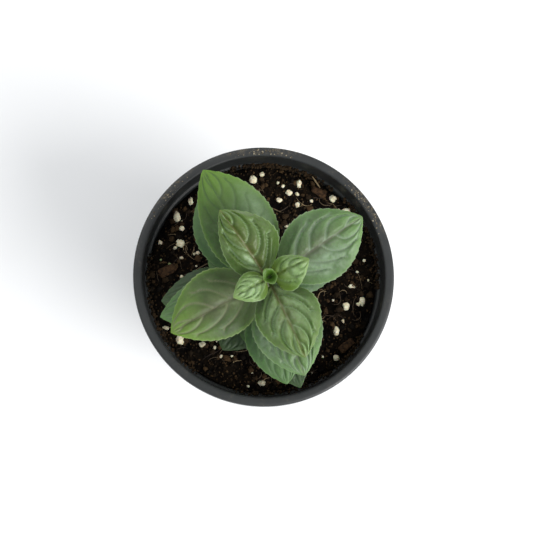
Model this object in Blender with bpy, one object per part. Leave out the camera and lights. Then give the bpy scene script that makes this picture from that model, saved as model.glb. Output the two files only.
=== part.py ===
"""A young mint plant growing in a round four-inch nursery pot.

Every piece is its own object: the moulded pot, the potting soil, the square stem, each leaf,
the larger perlite grains and the bark chips.  Sizes below are in millimetres and are turned into
metres by MM.  The origin is the middle of the pot's foot, +Z is up.
"""
import math
import random

import bpy
import bmesh
from mathutils import Vector

MM = 0.001
FIT_GAP = 0.3                 # clearance kept between pieces that touch

# ---- pot -------------------------------------------------------------------------------------
POT_HEIGHT = 88.0
LIP_RADIUS = 51.0             # outside of the rolled lip
LIP_DROP = 5.0                # how far the lip's skirt hangs down
LIP_WALL = 1.0
MOUTH_RADIUS = 47.3           # inside edge of the lip
LEDGE_Z = 78.2                # the inner ledge below the lip
COLLAR_RADIUS = 48.3          # outside of the collar under the lip
COLLAR_BASE_Z = 76.0
WALL_TOP_RADIUS = 46.8        # tapered body, outside, just below the collar
FOOT_RADIUS = 35.5
FOOT_RING_WIDTH = 3.5
FOOT_RECESS = 3.0
FLOOR_THICKNESS = 1.2
INNER_FLOOR_RADIUS = 35.4
INNER_FLOOR_Z = 5.5           # where the inner wall starts, above the floor's rounded corner
LEDGE_INNER_RADIUS = 45.7
DRAIN_HOLES = 6
DRAIN_RADIUS = 4.0
DRAIN_CIRCLE = 23.0
ROUND_SEGMENTS = 64

# ---- soil ------------------------------------------------------------------------------------
SOIL_LEVEL = 77.0
SOIL_RINGS = (4.0, 10.0, 17.0, 24.0, 31.0, 38.0)
SOIL_EDGE_DROP = 0.6          # the soil sinks a little where it meets the wall
SOIL_BASE_GAP = 0.3

# ---- stem ------------------------------------------------------------------------------------
STEM_FOOT = (-1.7, -7.4, 62.0)        # buried end
STEM_TIP = (-0.8, -7.8, 140.2)
STEM_HALF_WIDTH = 1.45                # at the soil
STEM_TIP_HALF_WIDTH = 0.95
STEM_TURN = 30.0                      # the square stem's faces look towards the leaf pairs
STEM_CORNER_CUT = 0.55                # where the cut corner starts, as a share of the half width
NODE_SWELL = 1.22
NODE_HALF_LENGTH = 1.3

# ---- leaves ----------------------------------------------------------------------------------
PETIOLE_HALF_WIDTH = 0.65
PETIOLE_THICKNESS = 1.1
BLADE_THICKNESS = 0.5
TIP_HALF_WIDTH = 0.2
PETIOLE_STEPS = 3
BLADE_STEPS = 10
BLADE_HALF_COLUMNS = 2                # points across each half of a blade
DROOP_POWER = 1.2


def leaf(name, height, turn, rise, length, width, **more):
    """One leaf: where it leaves the stem and the shape of its blade (degrees and millimetres)."""
    shape = dict(petiole=4.0, droop=20.0, sweep=0.0, roll=0.0, cup=-15.0, widest=0.42, skew=0.0)
    shape.update(more)
    shape.update(name=name, height=height, turn=turn, rise=rise, length=length, width=width)
    return shape


LEAVES = (
    leaf("bud_leaf_a", 140.0, 125, 62, 5.0, 4.6, petiole=1.0, droop=-18, cup=45),
    leaf("bud_leaf_b", 140.0, 305, 62, 5.0, 4.6, petiole=1.0, droop=-18, cup=45),
    leaf("leaf_1a", 138.0, 24, 40, 15, 13, petiole=1.0, droop=38, cup=-22, widest=0.36, skew=-0.2),
    leaf("leaf_1b", 138.0, 211, 42, 15, 11.5, petiole=1.0, droop=42, cup=-25, widest=0.38),
    leaf("leaf_2a", 133.5, 127, 38, 29, 22, petiole=2.0, droop=45, cup=-30, widest=0.38,
         skew=-0.2),
    leaf("leaf_2b", 133.5, 294, 35, 30, 24, petiole=3.0, droop=47, cup=-25, skew=0.08),
    leaf("leaf_3a", 127.5, 208, 22, 36, 26, petiole=3.0, droop=25, cup=-20, sweep=3, skew=-0.08),
    leaf("leaf_3b", 127.5, 34, 19, 35.3, 26.5, petiole=5.0, droop=22, cup=-18, widest=0.46),
    leaf("leaf_4a", 120.0, 120, 22, 42.5, 27, droop=25, cup=-10, skew=-0.14),
    leaf("leaf_4b", 120.0, 292, 24, 33, 26, petiole=3.0, droop=34, cup=-20, skew=0.08),
    leaf("leaf_5a", 112.0, 197, 13, 35, 20),
    leaf("leaf_5b", 112.0, 22, 12, 26, 17, droop=30),
    leaf("leaf_6a", 105.0, 124, 13, 37.5, 24, widest=0.52),
    leaf("leaf_6b", 105.0, 283.5, 12, 31.5, 23),
    leaf("leaf_7a", 98.0, 186, 9, 33, 22.5),
    leaf("leaf_7b", 98.0, 25, 9, 20, 14, droop=30),
    leaf("leaf_8a", 92.0, 112, 10, 22, 15),
    leaf("leaf_8b", 92.0, 292, 9, 34, 19, droop=10, widest=0.45),
    leaf("leaf_9a", 86.5, 236, 8, 20.5, 19, droop=12),
    leaf("leaf_9b", 86.5, 58, 10, 12, 10, petiole=3.0, droop=15),
    leaf("side_leaf_a", 101.5, 154, 20, 18, 12, droop=25),
    leaf("side_leaf_b", 95.0, 250, 20, 15, 11, droop=25),
)

# ---- perlite grains and bark chips: place on the soil and size -----------------------------------
PERLITE = (
    (-4.0, 40.0, 2.8, 3.4), (-0.5, 42.3, 2.0, 2.0), (10.5, 35.0, 2.8, 2.4), (14.5, 38.5, 2.0, 3.2),
    (6.5, 32.0, 2.4, 2.0), (28.0, 32.5, 2.8, 2.8), (33.5, 27.5, 3.6, 2.4), (-29.0, 31.0, 2.0, 3.2),
    (-34.5, 24.5, 2.8, 4.4), (-32.5, 20.0, 2.2, 2.2), (-33.0, 14.0, 3.2, 3.2),
    (-24.0, 12.5, 3.2, 2.0), (-38.5, -20.0, 2.8, 2.0), (-32.5, -24.5, 3.6, 3.6),
    (-24.0, -26.5, 2.8, 2.4), (29.0, -31.5, 2.6, 2.6), (29.0, -21.0, 2.4, 3.6),
    (33.0, -11.0, 2.8, 2.8), (39.5, -9.0, 2.4, 3.6), (35.5, -3.0, 2.6, 2.0),
    (-0.5, -41.5, 3.2, 2.4), (14.0, 30.0, 2.0, 2.0),
)
PERLITE_HEIGHT = 0.8          # of its width
PERLITE_LUMPS = 0.12
BARK = (
    (-38.0, 3.0, 7.0, 4.0, 25.0), (33.0, -26.5, 6.5, 3.2, 40.0),
    (22.5, 35.0, 6.0, 3.0, 150.0), (-19.0, 35.5, 5.0, 3.0, 80.0),
)
BARK_THICKNESS = 1.5
BARK_SECTIONS = ((-0.5, 0.75), (-0.42, 1.0), (0.0, 0.95), (0.42, 0.75), (0.5, 0.5))


# ---- helpers ---------------------------------------------------------------------------------
def hex_to_linear(code):
    """An sRGB hex colour as a linear RGBA."""
    channels = [int(code[i:i + 2], 16) / 255.0 for i in (0, 2, 4)]
    return [c / 12.92 if c <= 0.04045 else ((c + 0.055) / 1.055) ** 2.4 for c in channels] + [1.0]


def plain_material(name, colour, roughness):
    material = bpy.data.materials.new(name)
    material.use_nodes = True
    shader = material.node_tree.nodes["Principled BSDF"]
    shader.inputs["Base Color"].default_value = hex_to_linear(colour)
    shader.inputs["Roughness"].default_value = roughness
    shader.inputs["Metallic"].default_value = 0.0
    material.diffuse_color = hex_to_linear(colour)
    return material


def object_from_bmesh(name, mesh_data, material, smooth_angle=50.0):
    """Turn a bmesh in millimetres into an object in metres, with its faces pointing out."""
    bmesh.ops.recalc_face_normals(mesh_data, faces=mesh_data.faces)
    if mesh_data.calc_volume(signed=True) < 0.0:
        bmesh.ops.reverse_faces(mesh_data, faces=mesh_data.faces)
    for vertex in mesh_data.verts:
        vertex.co *= MM
    mesh = bpy.data.meshes.new(name)
    mesh_data.to_mesh(mesh)
    mesh_data.free()
    mesh.materials.append(material)
    mesh.shade_smooth()
    mesh.set_sharp_from_angle(angle=math.radians(smooth_angle))
    piece = bpy.data.objects.new(name, mesh)
    bpy.context.scene.collection.objects.link(piece)
    return piece


def skin_rings(mesh_data, rings):
    """Close a row of equal rings of points into one solid, with a cap at each end."""
    loops = [[mesh_data.verts.new(point) for point in ring] for ring in rings]
    count = len(loops[0])
    for near, far in zip(loops, loops[1:]):
        for i in range(count):
            j = (i + 1) % count
            mesh_data.faces.new((near[i], near[j], far[j], far[i]))
    mesh_data.faces.new(loops[0])
    mesh_data.faces.new(loops[-1])


def cut_from(piece, cutter):
    """Cut the cutter's shape out of the piece; the cutter stays as a hidden guide."""
    cut = piece.modifiers.new("cut_" + cutter.name, "BOOLEAN")
    cut.operation = "DIFFERENCE"
    cut.solver = "EXACT"
    cut.object = cutter
    cutter.hide_render = True
    cutter.display_type = "WIRE"


# ---- pot -------------------------------------------------------------------------------------
def pot_profile():
    """Half section of the pot, from the middle of its underside round to the middle of its floor."""
    return (
        (FOOT_RADIUS - FOOT_RING_WIDTH - 0.6, FOOT_RECESS),
        (FOOT_RADIUS - FOOT_RING_WIDTH, 0.0),
        (FOOT_RADIUS - 0.3, 0.0),
        (FOOT_RADIUS + 0.3, 0.8),
        (WALL_TOP_RADIUS, COLLAR_BASE_Z),
        (COLLAR_RADIUS, COLLAR_BASE_Z + 1.8),
        (COLLAR_RADIUS, POT_HEIGHT - 1.6),
        (LIP_RADIUS - LIP_WALL, POT_HEIGHT - 1.9),
        (LIP_RADIUS - LIP_WALL, POT_HEIGHT - LIP_DROP + 0.2),
        (LIP_RADIUS - 0.5 * LIP_WALL, POT_HEIGHT - LIP_DROP),
        (LIP_RADIUS, POT_HEIGHT - LIP_DROP + 0.4),
        (LIP_RADIUS, POT_HEIGHT - 0.9),
        (LIP_RADIUS - 0.6, POT_HEIGHT - 0.2),
        (LIP_RADIUS - 1.5, POT_HEIGHT),
        (MOUTH_RADIUS + 0.9, POT_HEIGHT - 0.2),
        (MOUTH_RADIUS, POT_HEIGHT - 1.0),
        (MOUTH_RADIUS - 0.5, LEDGE_Z + 0.9),
        (LEDGE_INNER_RADIUS + 0.1, LEDGE_Z + 0.1),
        (LEDGE_INNER_RADIUS, LEDGE_Z - 0.4),
        (INNER_FLOOR_RADIUS, INNER_FLOOR_Z),
        (INNER_FLOOR_RADIUS - 1.3, FOOT_RECESS + FLOOR_THICKNESS),
    )


def build_pot():
    """Injection-moulded pot: foot ring, drained floor, tapered wall, collar and rolled lip."""
    mesh_data = bmesh.new()
    profile = pot_profile()
    rings = []
    for step in range(ROUND_SEGMENTS):
        angle = 2.0 * math.pi * step / ROUND_SEGMENTS
        across, along = math.cos(angle), math.sin(angle)
        rings.append([mesh_data.verts.new((r * across, r * along, z)) for r, z in profile])
    for step, ring in enumerate(rings):
        following = rings[(step + 1) % ROUND_SEGMENTS]
        for i in range(len(profile) - 1):
            mesh_data.faces.new((ring[i], following[i], following[i + 1], ring[i + 1]))
    mesh_data.faces.new([ring[0] for ring in rings])
    mesh_data.faces.new([ring[-1] for ring in rings])
    pot = object_from_bmesh("pot", mesh_data, plain_material("moulded_polypropylene", "3A3D3C", 0.5), 35.0)
    cut_from(pot, drain_hole_cutter())
    return pot


def drain_hole_cutter():
    """Round punches through the floor, on one circle."""
    mesh_data = bmesh.new()
    depth = FOOT_RECESS + FLOOR_THICKNESS
    for hole in range(DRAIN_HOLES):
        angle = 2.0 * math.pi * (hole + 0.5) / DRAIN_HOLES
        punch = bmesh.ops.create_cone(mesh_data, cap_ends=True, segments=20, radius1=DRAIN_RADIUS,
                                      radius2=DRAIN_RADIUS, depth=depth)
        centre = (DRAIN_CIRCLE * math.cos(angle), DRAIN_CIRCLE * math.sin(angle), 0.5 * depth + 1.6)
        bmesh.ops.translate(mesh_data, verts=punch["verts"], vec=centre)
    return object_from_bmesh("drain_hole_cutter", mesh_data, plain_material("guide_drain", "808080", 0.5))


# ---- soil ------------------------------------------------------------------------------------
def inner_wall_radius(z):
    share = (z - INNER_FLOOR_Z) / (LEDGE_Z - 0.4 - INNER_FLOOR_Z)
    return INNER_FLOOR_RADIUS + (LEDGE_INNER_RADIUS - INNER_FLOOR_RADIUS) * share


def soil_height(x, y):
    """The soil's uneven top: slow swells, a mound at the front right and a settled edge."""
    swell = 0.55 * math.sin(0.13 * x + 0.9) * math.cos(0.11 * y - 0.4)
    lumps = 0.25 * math.sin(0.37 * x - 0.22 * y) + 0.2 * math.cos(0.41 * y + 0.19 * x + 1.3)
    mound = 1.1 * math.exp(-((x - 32.0) ** 2 + (y + 24.0) ** 2) / 120.0)
    edge = SOIL_EDGE_DROP * (math.hypot(x, y) / LEDGE_INNER_RADIUS) ** 6
    return SOIL_LEVEL + swell + lumps + mound - edge


def build_soil(sockets):
    """Potting soil that fills the pot to just under the ledge, with a socket for what sits in it."""
    mesh_data = bmesh.new()
    base_z = FOOT_RECESS + FLOOR_THICKNESS + SOIL_BASE_GAP
    rim_radius = inner_wall_radius(SOIL_LEVEL - 1.0) - FIT_GAP
    outline = [(radius, None) for radius in SOIL_RINGS] + [(rim_radius, None)]
    outline.append((inner_wall_radius(INNER_FLOOR_Z) - FIT_GAP, INNER_FLOOR_Z))
    outline.append((INNER_FLOOR_RADIUS - 1.3 - FIT_GAP, base_z))
    rings = []
    for radius, fixed_z in outline:
        ring = []
        for step in range(ROUND_SEGMENTS):
            angle = 2.0 * math.pi * step / ROUND_SEGMENTS
            x, y = radius * math.cos(angle), radius * math.sin(angle)
            z = soil_height(x, y) if fixed_z is None else fixed_z
            if fixed_z is None and radius == rim_radius:
                z = min(z, SOIL_LEVEL - 0.6)
            ring.append((x, y, z))
        rings.append(ring)
    skin_rings(mesh_data, rings)
    soil = object_from_bmesh("potting_soil", mesh_data, plain_material("peat_potting_mix", "2C2519", 0.95))
    cut_from(soil, sockets)
    return soil


# ---- stem ------------------------------------------------------------------------------------
def stem_centre(z):
    share = (z - STEM_FOOT[2]) / (STEM_TIP[2] - STEM_FOOT[2])
    return Vector(STEM_FOOT).lerp(Vector(STEM_TIP), share)


def stem_half_width(z):
    """Half width across the flats, swollen where a pair of leaves leaves the stem."""
    share = min(max((z - SOIL_LEVEL) / (STEM_TIP[2] - SOIL_LEVEL), 0.0), 1.0)
    half = STEM_HALF_WIDTH + (STEM_TIP_HALF_WIDTH - STEM_HALF_WIDTH) * share
    for height in sorted({row["height"] for row in LEAVES}):
        near = max(0.0, 1.0 - abs(z - height) / NODE_HALF_LENGTH)
        half = max(half, half * (1.0 + (NODE_SWELL - 1.0) * near))
    return half


def stem_surface(half, off_face):
    """Distance from the stem's middle to its side, at an angle from the middle of a flat."""
    corner = half * (1.0 + STEM_CORNER_CUT) / math.sqrt(2.0)
    return min(half / math.cos(off_face), corner / math.cos(math.radians(45.0) - off_face))


def square_ring(centre, half, turn):
    """Eight points round a square with cut corners."""
    cut = STEM_CORNER_CUT * half
    corners = ((half, -cut), (half, cut), (cut, half), (-cut, half),
               (-half, cut), (-half, -cut), (-cut, -half), (cut, -half))
    ring = []
    for x, y in corners:
        across = x * math.cos(turn) - y * math.sin(turn)
        along = x * math.sin(turn) + y * math.cos(turn)
        ring.append(centre + Vector((across, along, 0.0)))
    return ring


def stem_heights():
    heights = {STEM_FOOT[2], STEM_FOOT[2] + 2.0, SOIL_LEVEL, STEM_TIP[2]}
    for row in LEAVES:
        for offset in (-NODE_HALF_LENGTH, 0.0, NODE_HALF_LENGTH):
            if row["height"] + offset < STEM_TIP[2]:
                heights.add(row["height"] + offset)
    ordered = sorted(heights)
    kept = [ordered[0]]
    for height in ordered[1:]:
        if height - kept[-1] > 0.45:
            kept.append(height)
    return kept


def stem_rings(clearance):
    turn = math.radians(STEM_TURN)
    rings = []
    for z in stem_heights():
        half = stem_half_width(z) + clearance
        if z == STEM_FOOT[2]:
            half = 0.55 * half
        rings.append(square_ring(stem_centre(z), half, turn))
    return rings


def build_stem():
    mesh_data = bmesh.new()
    skin_rings(mesh_data, stem_rings(0.0))
    return object_from_bmesh("stem", mesh_data, plain_material("green_stem", "6B7A45", 0.55))


# ---- leaves ----------------------------------------------------------------------------------
def blade_outline(share, widest):
    """Half width of an ovate blade along its length, 0 to 1, widest where asked."""
    share = min(max(share, 0.0), 1.0)
    power = math.log(0.5) / math.log(widest)
    return max(math.sin(math.pi * share ** power), 0.0) ** (0.62 + 0.16 * share ** 4)


def leaf_frames(row, shares):
    """Walk out from the stem along the leaf's arching midrib; a point and three axes per share."""
    total = row["petiole"] + row["length"]
    steps = 80
    step = total / steps
    turn = math.radians(row["turn"])
    off_face = math.radians(abs((row["turn"] - STEM_TURN + 45.0) % 90.0 - 45.0))
    start_out = stem_surface(stem_half_width(row["height"]), off_face) + FIT_GAP + 0.05
    start_out += 0.5 * PETIOLE_HALF_WIDTH * math.sin(off_face)
    point = stem_centre(row["height"]) + start_out * Vector((math.cos(turn), math.sin(turn), 0.0))
    frames = []
    for i in range(steps + 1):
        blade = max(0.0, (i * step - row["petiole"]) / row["length"])
        pitch = math.radians(row["rise"] - row["droop"] * blade ** DROOP_POWER)
        heading = math.radians(row["turn"] + row["sweep"] * blade)
        along = Vector((math.cos(pitch) * math.cos(heading), math.cos(pitch) * math.sin(heading),
                        math.sin(pitch)))
        side = Vector((-math.sin(heading), math.cos(heading), 0.0))
        up = along.cross(side)
        roll = math.radians(row["roll"])
        across = math.cos(roll) * side + math.sin(roll) * up
        frames.append((point.copy(), across, along.cross(across)))
        point = point + along * step
    return [frames[min(steps, round(share * steps))] for share in shares]


def leaf_ring(frame, half_width, thickness, cup, skew):
    """A lens-shaped section: top points from one edge to the other, then back underneath."""
    point, across, up = frame
    columns = range(-BLADE_HALF_COLUMNS, BLADE_HALF_COLUMNS + 1)
    top, bottom = [], []
    for column in columns:
        v = column / BLADE_HALF_COLUMNS
        reach = half_width * (1.0 + math.copysign(skew, v)) if v else half_width
        bend = cup * v
        sideways = reach * math.sin(bend) / cup
        lift = reach * (1.0 - math.cos(bend)) / cup
        upper = point + across * sideways + up * lift
        top.append(upper)
        if abs(v) < 1.0:
            bottom.append(upper - up * thickness * (1.0 - abs(v) ** 3))
    return top + bottom[::-1]


def leaf_rings(row):
    total = row["petiole"] + row["length"]
    shares = [row["petiole"] * i / PETIOLE_STEPS / total for i in range(PETIOLE_STEPS)]
    shares += [(row["petiole"] + row["length"] * i / BLADE_STEPS) / total
               for i in range(BLADE_STEPS + 1)]
    rings = []
    for share, frame in zip(shares, leaf_frames(row, shares)):
        blade = (share * total - row["petiole"]) / row["length"]
        blade_half = 0.5 * row["width"] * blade_outline(blade, row["widest"]) if blade > 0.0 else 0.0
        root_share = min(1.0, max(0.0, blade / 0.3))
        root_half = PETIOLE_HALF_WIDTH + (TIP_HALF_WIDTH - PETIOLE_HALF_WIDTH) * root_share
        thickness = PETIOLE_THICKNESS + (BLADE_THICKNESS - PETIOLE_THICKNESS) * root_share
        cup = math.radians(row["cup"])
        rings.append(leaf_ring(frame, max(blade_half, root_half), thickness, cup, row["skew"]))
    return rings


def build_leaf(row):
    mesh_data = bmesh.new()
    skin_rings(mesh_data, leaf_rings(row))
    material = plain_material(row["name"] + "_blade", "6F8A50", 0.5)
    return object_from_bmesh(row["name"], mesh_data, material, 60.0)


# ---- perlite and bark --------------------------------------------------------------------------
def add_grain(mesh_data, row, seed, clearance):
    """A lumpy grain, half sunk in the soil; with clearance it is the hollow that it leaves."""
    x, y, width, depth = row
    dice = random.Random(seed)
    grain = bmesh.ops.create_icosphere(mesh_data, subdivisions=2, radius=1.0)["verts"]
    height = PERLITE_HEIGHT * 0.5 * (width + depth)
    centre = Vector((x, y, soil_height(x, y) + 0.12 * height))
    for vertex in grain:
        lump = 1.0 + PERLITE_LUMPS * (dice.random() - 0.5) * 2.0
        spot = Vector((vertex.co.x * width, vertex.co.y * depth, vertex.co.z * height)) * 0.5 * lump
        vertex.co = centre + spot * ((spot.length + clearance) / spot.length)


def add_chip(mesh_data, row, clearance):
    """A flat bark chip with rounded ends, one of them thinner than the other."""
    x, y, length, width, turn = row
    centre = Vector((x, y, soil_height(x, y) + 0.15 * BARK_THICKNESS))
    along = Vector((math.cos(math.radians(turn)), math.sin(math.radians(turn)), 0.0))
    across = Vector((-along.y, along.x, 0.0))
    rings = []
    for share, scale in BARK_SECTIONS:
        half_width = 0.5 * width * scale + clearance
        half_height = 0.5 * BARK_THICKNESS * scale + clearance
        middle = centre + along * share * (length + 2.0 * clearance)
        corners = ((1.0, -0.4), (1.0, 0.4), (0.7, 1.0), (-0.7, 1.0),
                   (-1.0, 0.4), (-1.0, -0.4), (-0.7, -1.0), (0.7, -1.0))
        rings.append([middle + across * u * half_width + Vector((0.0, 0.0, v * half_height))
                      for u, v in corners])
    skin_rings(mesh_data, rings)


def build_grains():
    for index, row in enumerate(PERLITE):
        name = f"perlite_{index + 1:02d}"
        mesh_data = bmesh.new()
        add_grain(mesh_data, row, index, 0.0)
        object_from_bmesh(name, mesh_data, plain_material(name + "_glass", "E4DFC8", 0.8), 80.0)
    for index, row in enumerate(BARK):
        name = f"bark_chip_{index + 1}"
        mesh_data = bmesh.new()
        add_chip(mesh_data, row, 0.0)
        object_from_bmesh(name, mesh_data, plain_material(name + "_wood", "5A3D22", 0.85), 30.0)


def socket_cutter():
    """Everything that stands in the soil, a little enlarged, as one cutter."""
    mesh_data = bmesh.new()
    skin_rings(mesh_data, stem_rings(FIT_GAP))
    foot = min(vertex.co.z for vertex in mesh_data.verts)
    for vertex in mesh_data.verts:
        if vertex.co.z == foot:
            vertex.co.z -= FIT_GAP
    for index, row in enumerate(PERLITE):
        add_grain(mesh_data, row, index, FIT_GAP)
    for row in BARK:
        add_chip(mesh_data, row, FIT_GAP)
    return object_from_bmesh("soil_socket_cutter", mesh_data, plain_material("guide_sockets", "808080", 0.5))


def clear_scene():
    for old in list(bpy.data.objects):
        bpy.data.objects.remove(old, do_unlink=True)


def main():
    clear_scene()
    build_pot()
    build_soil(socket_cutter())
    build_stem()
    for row in LEAVES:
        build_leaf(row)
    build_grains()


main()
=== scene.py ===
"""Potted mint: the finished look of a young mint plant in a round nursery pot."""
import math
import random

import bmesh
import bpy
import numpy as np
from mathutils import Matrix, Vector, noise


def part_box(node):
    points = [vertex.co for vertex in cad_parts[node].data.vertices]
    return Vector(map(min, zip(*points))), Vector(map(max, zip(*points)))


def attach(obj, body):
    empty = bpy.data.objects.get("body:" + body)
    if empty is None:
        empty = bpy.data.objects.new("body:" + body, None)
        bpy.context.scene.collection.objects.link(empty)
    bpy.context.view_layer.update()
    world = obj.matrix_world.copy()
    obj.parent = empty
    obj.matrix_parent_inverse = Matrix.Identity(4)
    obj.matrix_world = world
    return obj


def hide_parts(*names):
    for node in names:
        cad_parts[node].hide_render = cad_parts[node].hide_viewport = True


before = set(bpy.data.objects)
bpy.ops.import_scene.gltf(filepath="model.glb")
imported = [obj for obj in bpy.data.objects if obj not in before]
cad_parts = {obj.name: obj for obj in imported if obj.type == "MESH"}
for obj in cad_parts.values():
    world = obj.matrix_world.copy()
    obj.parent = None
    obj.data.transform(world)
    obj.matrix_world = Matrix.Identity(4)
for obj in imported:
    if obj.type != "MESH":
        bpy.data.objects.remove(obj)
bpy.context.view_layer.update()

bl_info = {
    "name": "Potted mint",
    "version": (1, 0, 0),
    "blender": (4, 5, 0),
    "location": "3D View > Sidebar > Mint",
    "description": "Builds a potted mint plant, its soil and a plain studio around it",
    "category": "Add Mesh",
}

MM = 0.001
BODY = "root"

# ---- the pot's and the soil's measures, in millimetres --------------------------------------
POT_HEIGHT = 88.0
LIP_RADIUS = 51.0
LIP_DROP = 5.0
LIP_WALL = 1.0
MOUTH_RADIUS = 47.3
LEDGE_Z = 78.2
LEDGE_INNER_RADIUS = 45.7
COLLAR_RADIUS = 48.3
COLLAR_BASE_Z = 76.0
WALL_TOP_RADIUS = 46.8
FOOT_RADIUS = 35.5
FOOT_RING_WIDTH = 3.5
FOOT_RECESS = 3.0
FLOOR_TOP_Z = 4.2
INNER_FLOOR_RADIUS = 35.4
INNER_FLOOR_Z = 5.5
DRAIN_HOLES = 6
DRAIN_RADIUS = 4.0
DRAIN_CIRCLE = 23.0
SOIL_LEVEL = 77.0
SOIL_EDGE_DROP = 0.6
FIT_GAP = 0.3
LIP_DIRT_ANGLES = (93.0, 88.0, 140.0, 38.0, 34.0)     # where dry soil lies on the lip
LEDGE_SOIL_TURNS = ((52.0, 118.0), (62.0, 100.0), (-5.0, 45.0), (168.0, 236.0), (255.0, 330.0))
SHARP_CORNER = 40.0            # degrees; a sharper bend in the pot stays a crisp edge
DUST_BAND = (POT_HEIGHT - 10.0, POT_HEIGHT - 1.0)    # heights where dry soil begins and is thickest

# ---- the plant's measures, in millimetres and degrees ----------------------------------------
STEM_FOOT = (-1.7, -7.4, 62.0)
STEM_TIP = (-0.8, -7.8, 140.2)
STEM_HALF_WIDTH = 1.45
STEM_TIP_HALF_WIDTH = 0.95
STEM_TURN = 30.0
STEM_CORNER_CUT = 0.55
NODE_SWELL = 1.22
NODE_HALF_LENGTH = 1.3
PETIOLE_HALF_WIDTH = 0.65
PETIOLE_THICKNESS = 1.1
BLADE_THICKNESS = 0.3
TIP_HALF_WIDTH = 0.2
DROOP_POWER = 1.2
TOOTH_SPACING = 2.6
STEPS_PER_TOOTH = 6
COLUMN_WIDTH = 0.45
PETIOLE_ROOT = 0.15            # how far a leaf stalk's foot sinks into the stem's skin
VEIN_LEAN = 0.26               # how far a side vein runs forward, as a share of the blade's length
VEIN_ARCH = 0.80               # how sharply it then sweeps up beside the margin
VEIN_HALF_WIDTH = 0.26         # mm
VEIN_LOOP = 0.66               # share of the half width where a side vein turns along the margin
FURROW_SHADE_WIDTHS = (0.5, 0.2)     # mm, width of the painted shade in the hollow below a side vein and above it
LIP_HIGHLIGHT_OFFSET = 0.42              # mm, from a side vein to the painted highlight on the lip above it
LIP_HIGHLIGHT_HALF_WIDTH = 0.26          # mm, half width of the painted highlight on the lip


def leaf(name, height, turn, rise, length, width, skin, **more):
    """One leaf: where it leaves the stem, the shape of its blade and the skin it wears."""
    # the last setting places a painted highlight patch: strength, place along the blade, place across,
    # spread along and spread across
    shape = dict(petiole=4.0, droop=20.0, sweep=0.0, roll=0.0, cup=-15.0, widest=0.42, skew=0.0,
                 quilt=0.55, veins=5.0, wave=0.5, teeth=0.34, bright=(0.3, 0.4, -0.3, 0.3, 0.3))
    shape.update(more)
    shape.update(name=name, height=height, turn=turn, rise=rise, length=length, width=width, skin=skin)
    return shape


LEAVES = (
    leaf("leaf_1a", 138.0, 24, 40, 15, 13, "crown", petiole=0.3, droop=38, cup=-22, skew=-0.2,
         widest=0.33, quilt=1.2, veins=3.4, wave=0.3, teeth=0.15, bright=(0.75, 0.66, 0.0, 0.2, 0.6)),
    leaf("leaf_1b", 138.0, 211, 42, 15, 11.5, "crown", petiole=0.3, droop=42, cup=-25,
         widest=0.36, quilt=1.5, veins=4.2, wave=0.3, teeth=0.15, bright=(1.0, 0.5, 0.1, 0.4, 0.6)),
    leaf("leaf_2a", 133.5, 127, 38, 29, 22, "young", petiole=1.2, droop=45, cup=-30, widest=0.38,
         skew=-0.2, quilt=2.0, veins=4.4, bright=(1.0, 0.26, 0.22, 0.15, 0.18)),
    leaf("leaf_2b", 133.5, 294, 35, 30, 24, "young", petiole=1.5, droop=47, cup=-25, skew=0.08,
         quilt=1.8, veins=4.6, bright=(0.45, 0.4, 0.1, 0.45, 0.9)),
    leaf("leaf_3a", 127.5, 208, 22, 36, 26, "flushed", petiole=3.0, droop=25, cup=-20, sweep=3,
         skew=-0.08, quilt=0.8, veins=4.2, bright=(0.7, 0.34, 0.0, 0.15, 0.3)),
    leaf("leaf_3b", 127.5, 34, 19, 35.3, 26.5, "silvered_and_highlit", petiole=5.0, droop=22, cup=-18,
         widest=0.46, quilt=1.3, veins=4.8, bright=(1.0, 0.42, -0.45, 0.28, 0.3)),
    leaf("leaf_4a", 120.0, 120, 22, 42.5, 27, "sunlit", droop=25, cup=-10, skew=-0.14, quilt=0.4,
         veins=4.4, wave=0.9, bright=(0.6, 0.45, -0.7, 0.3, 0.3)),
    leaf("leaf_4b", 120.0, 292, 24, 33, 26, "silvered_and_highlit", petiole=3.0, droop=34, cup=-20, skew=0.08,
         quilt=1.2, veins=5.5, bright=(0.8, 0.5, -0.85, 0.4, 0.25)),
    leaf("leaf_5a", 112.0, 197, 13, 35, 20, "mature"),
    leaf("leaf_5b", 112.0, 22, 12, 26, 17, "mature", droop=30),
    leaf("leaf_6a", 105.0, 124, 13, 37.5, 24, "mature", widest=0.52, quilt=0.4),
    leaf("leaf_6b", 105.0, 283.5, 12, 31.5, 23, "mature"),
    leaf("leaf_7a", 98.0, 186, 9, 33, 22.5, "painted_shade", quilt=0.4),
    leaf("leaf_7b", 98.0, 25, 9, 20, 14, "painted_shade", droop=30),
    leaf("leaf_8a", 92.0, 112, 10, 22, 15, "painted_shade"),
    leaf("leaf_8b", 92.0, 292, 9, 34, 19, "painted_shade", droop=10, widest=0.45),
    leaf("leaf_9a", 86.5, 236, 8, 20.5, 19, "painted_shade", droop=12),
    leaf("leaf_9b", 86.5, 58, 10, 12, 10, "painted_shade", petiole=3.0, droop=15),
    leaf("side_leaf_a", 101.5, 154, 20, 18, 12, "mature", droop=25),
    leaf("side_leaf_b", 95.0, 250, 20, 15, 11, "mature", droop=25),
)

# the two leaves of the growing tip stand edge to edge as a small cup
BUD_LEAVES = (("bud_leaf_a", 125.0), ("bud_leaf_b", 305.0))
BUD_BASE_Z = 140.1
BUD_PROFILE = ((0.06, 0.9), (0.35, 1.0), (0.7, 1.35), (1.05, 1.9), (1.4, 2.5), (1.7, 3.0),
               (2.0, 3.4), (2.3, 3.7), (2.6, 3.8))
BUD_WALL = 0.18
BUD_HALF_TURN = 88.0
BUD_LIT_TURN = 175.0           # side of the cup where the painted highlight, a pale arc, lies
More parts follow.
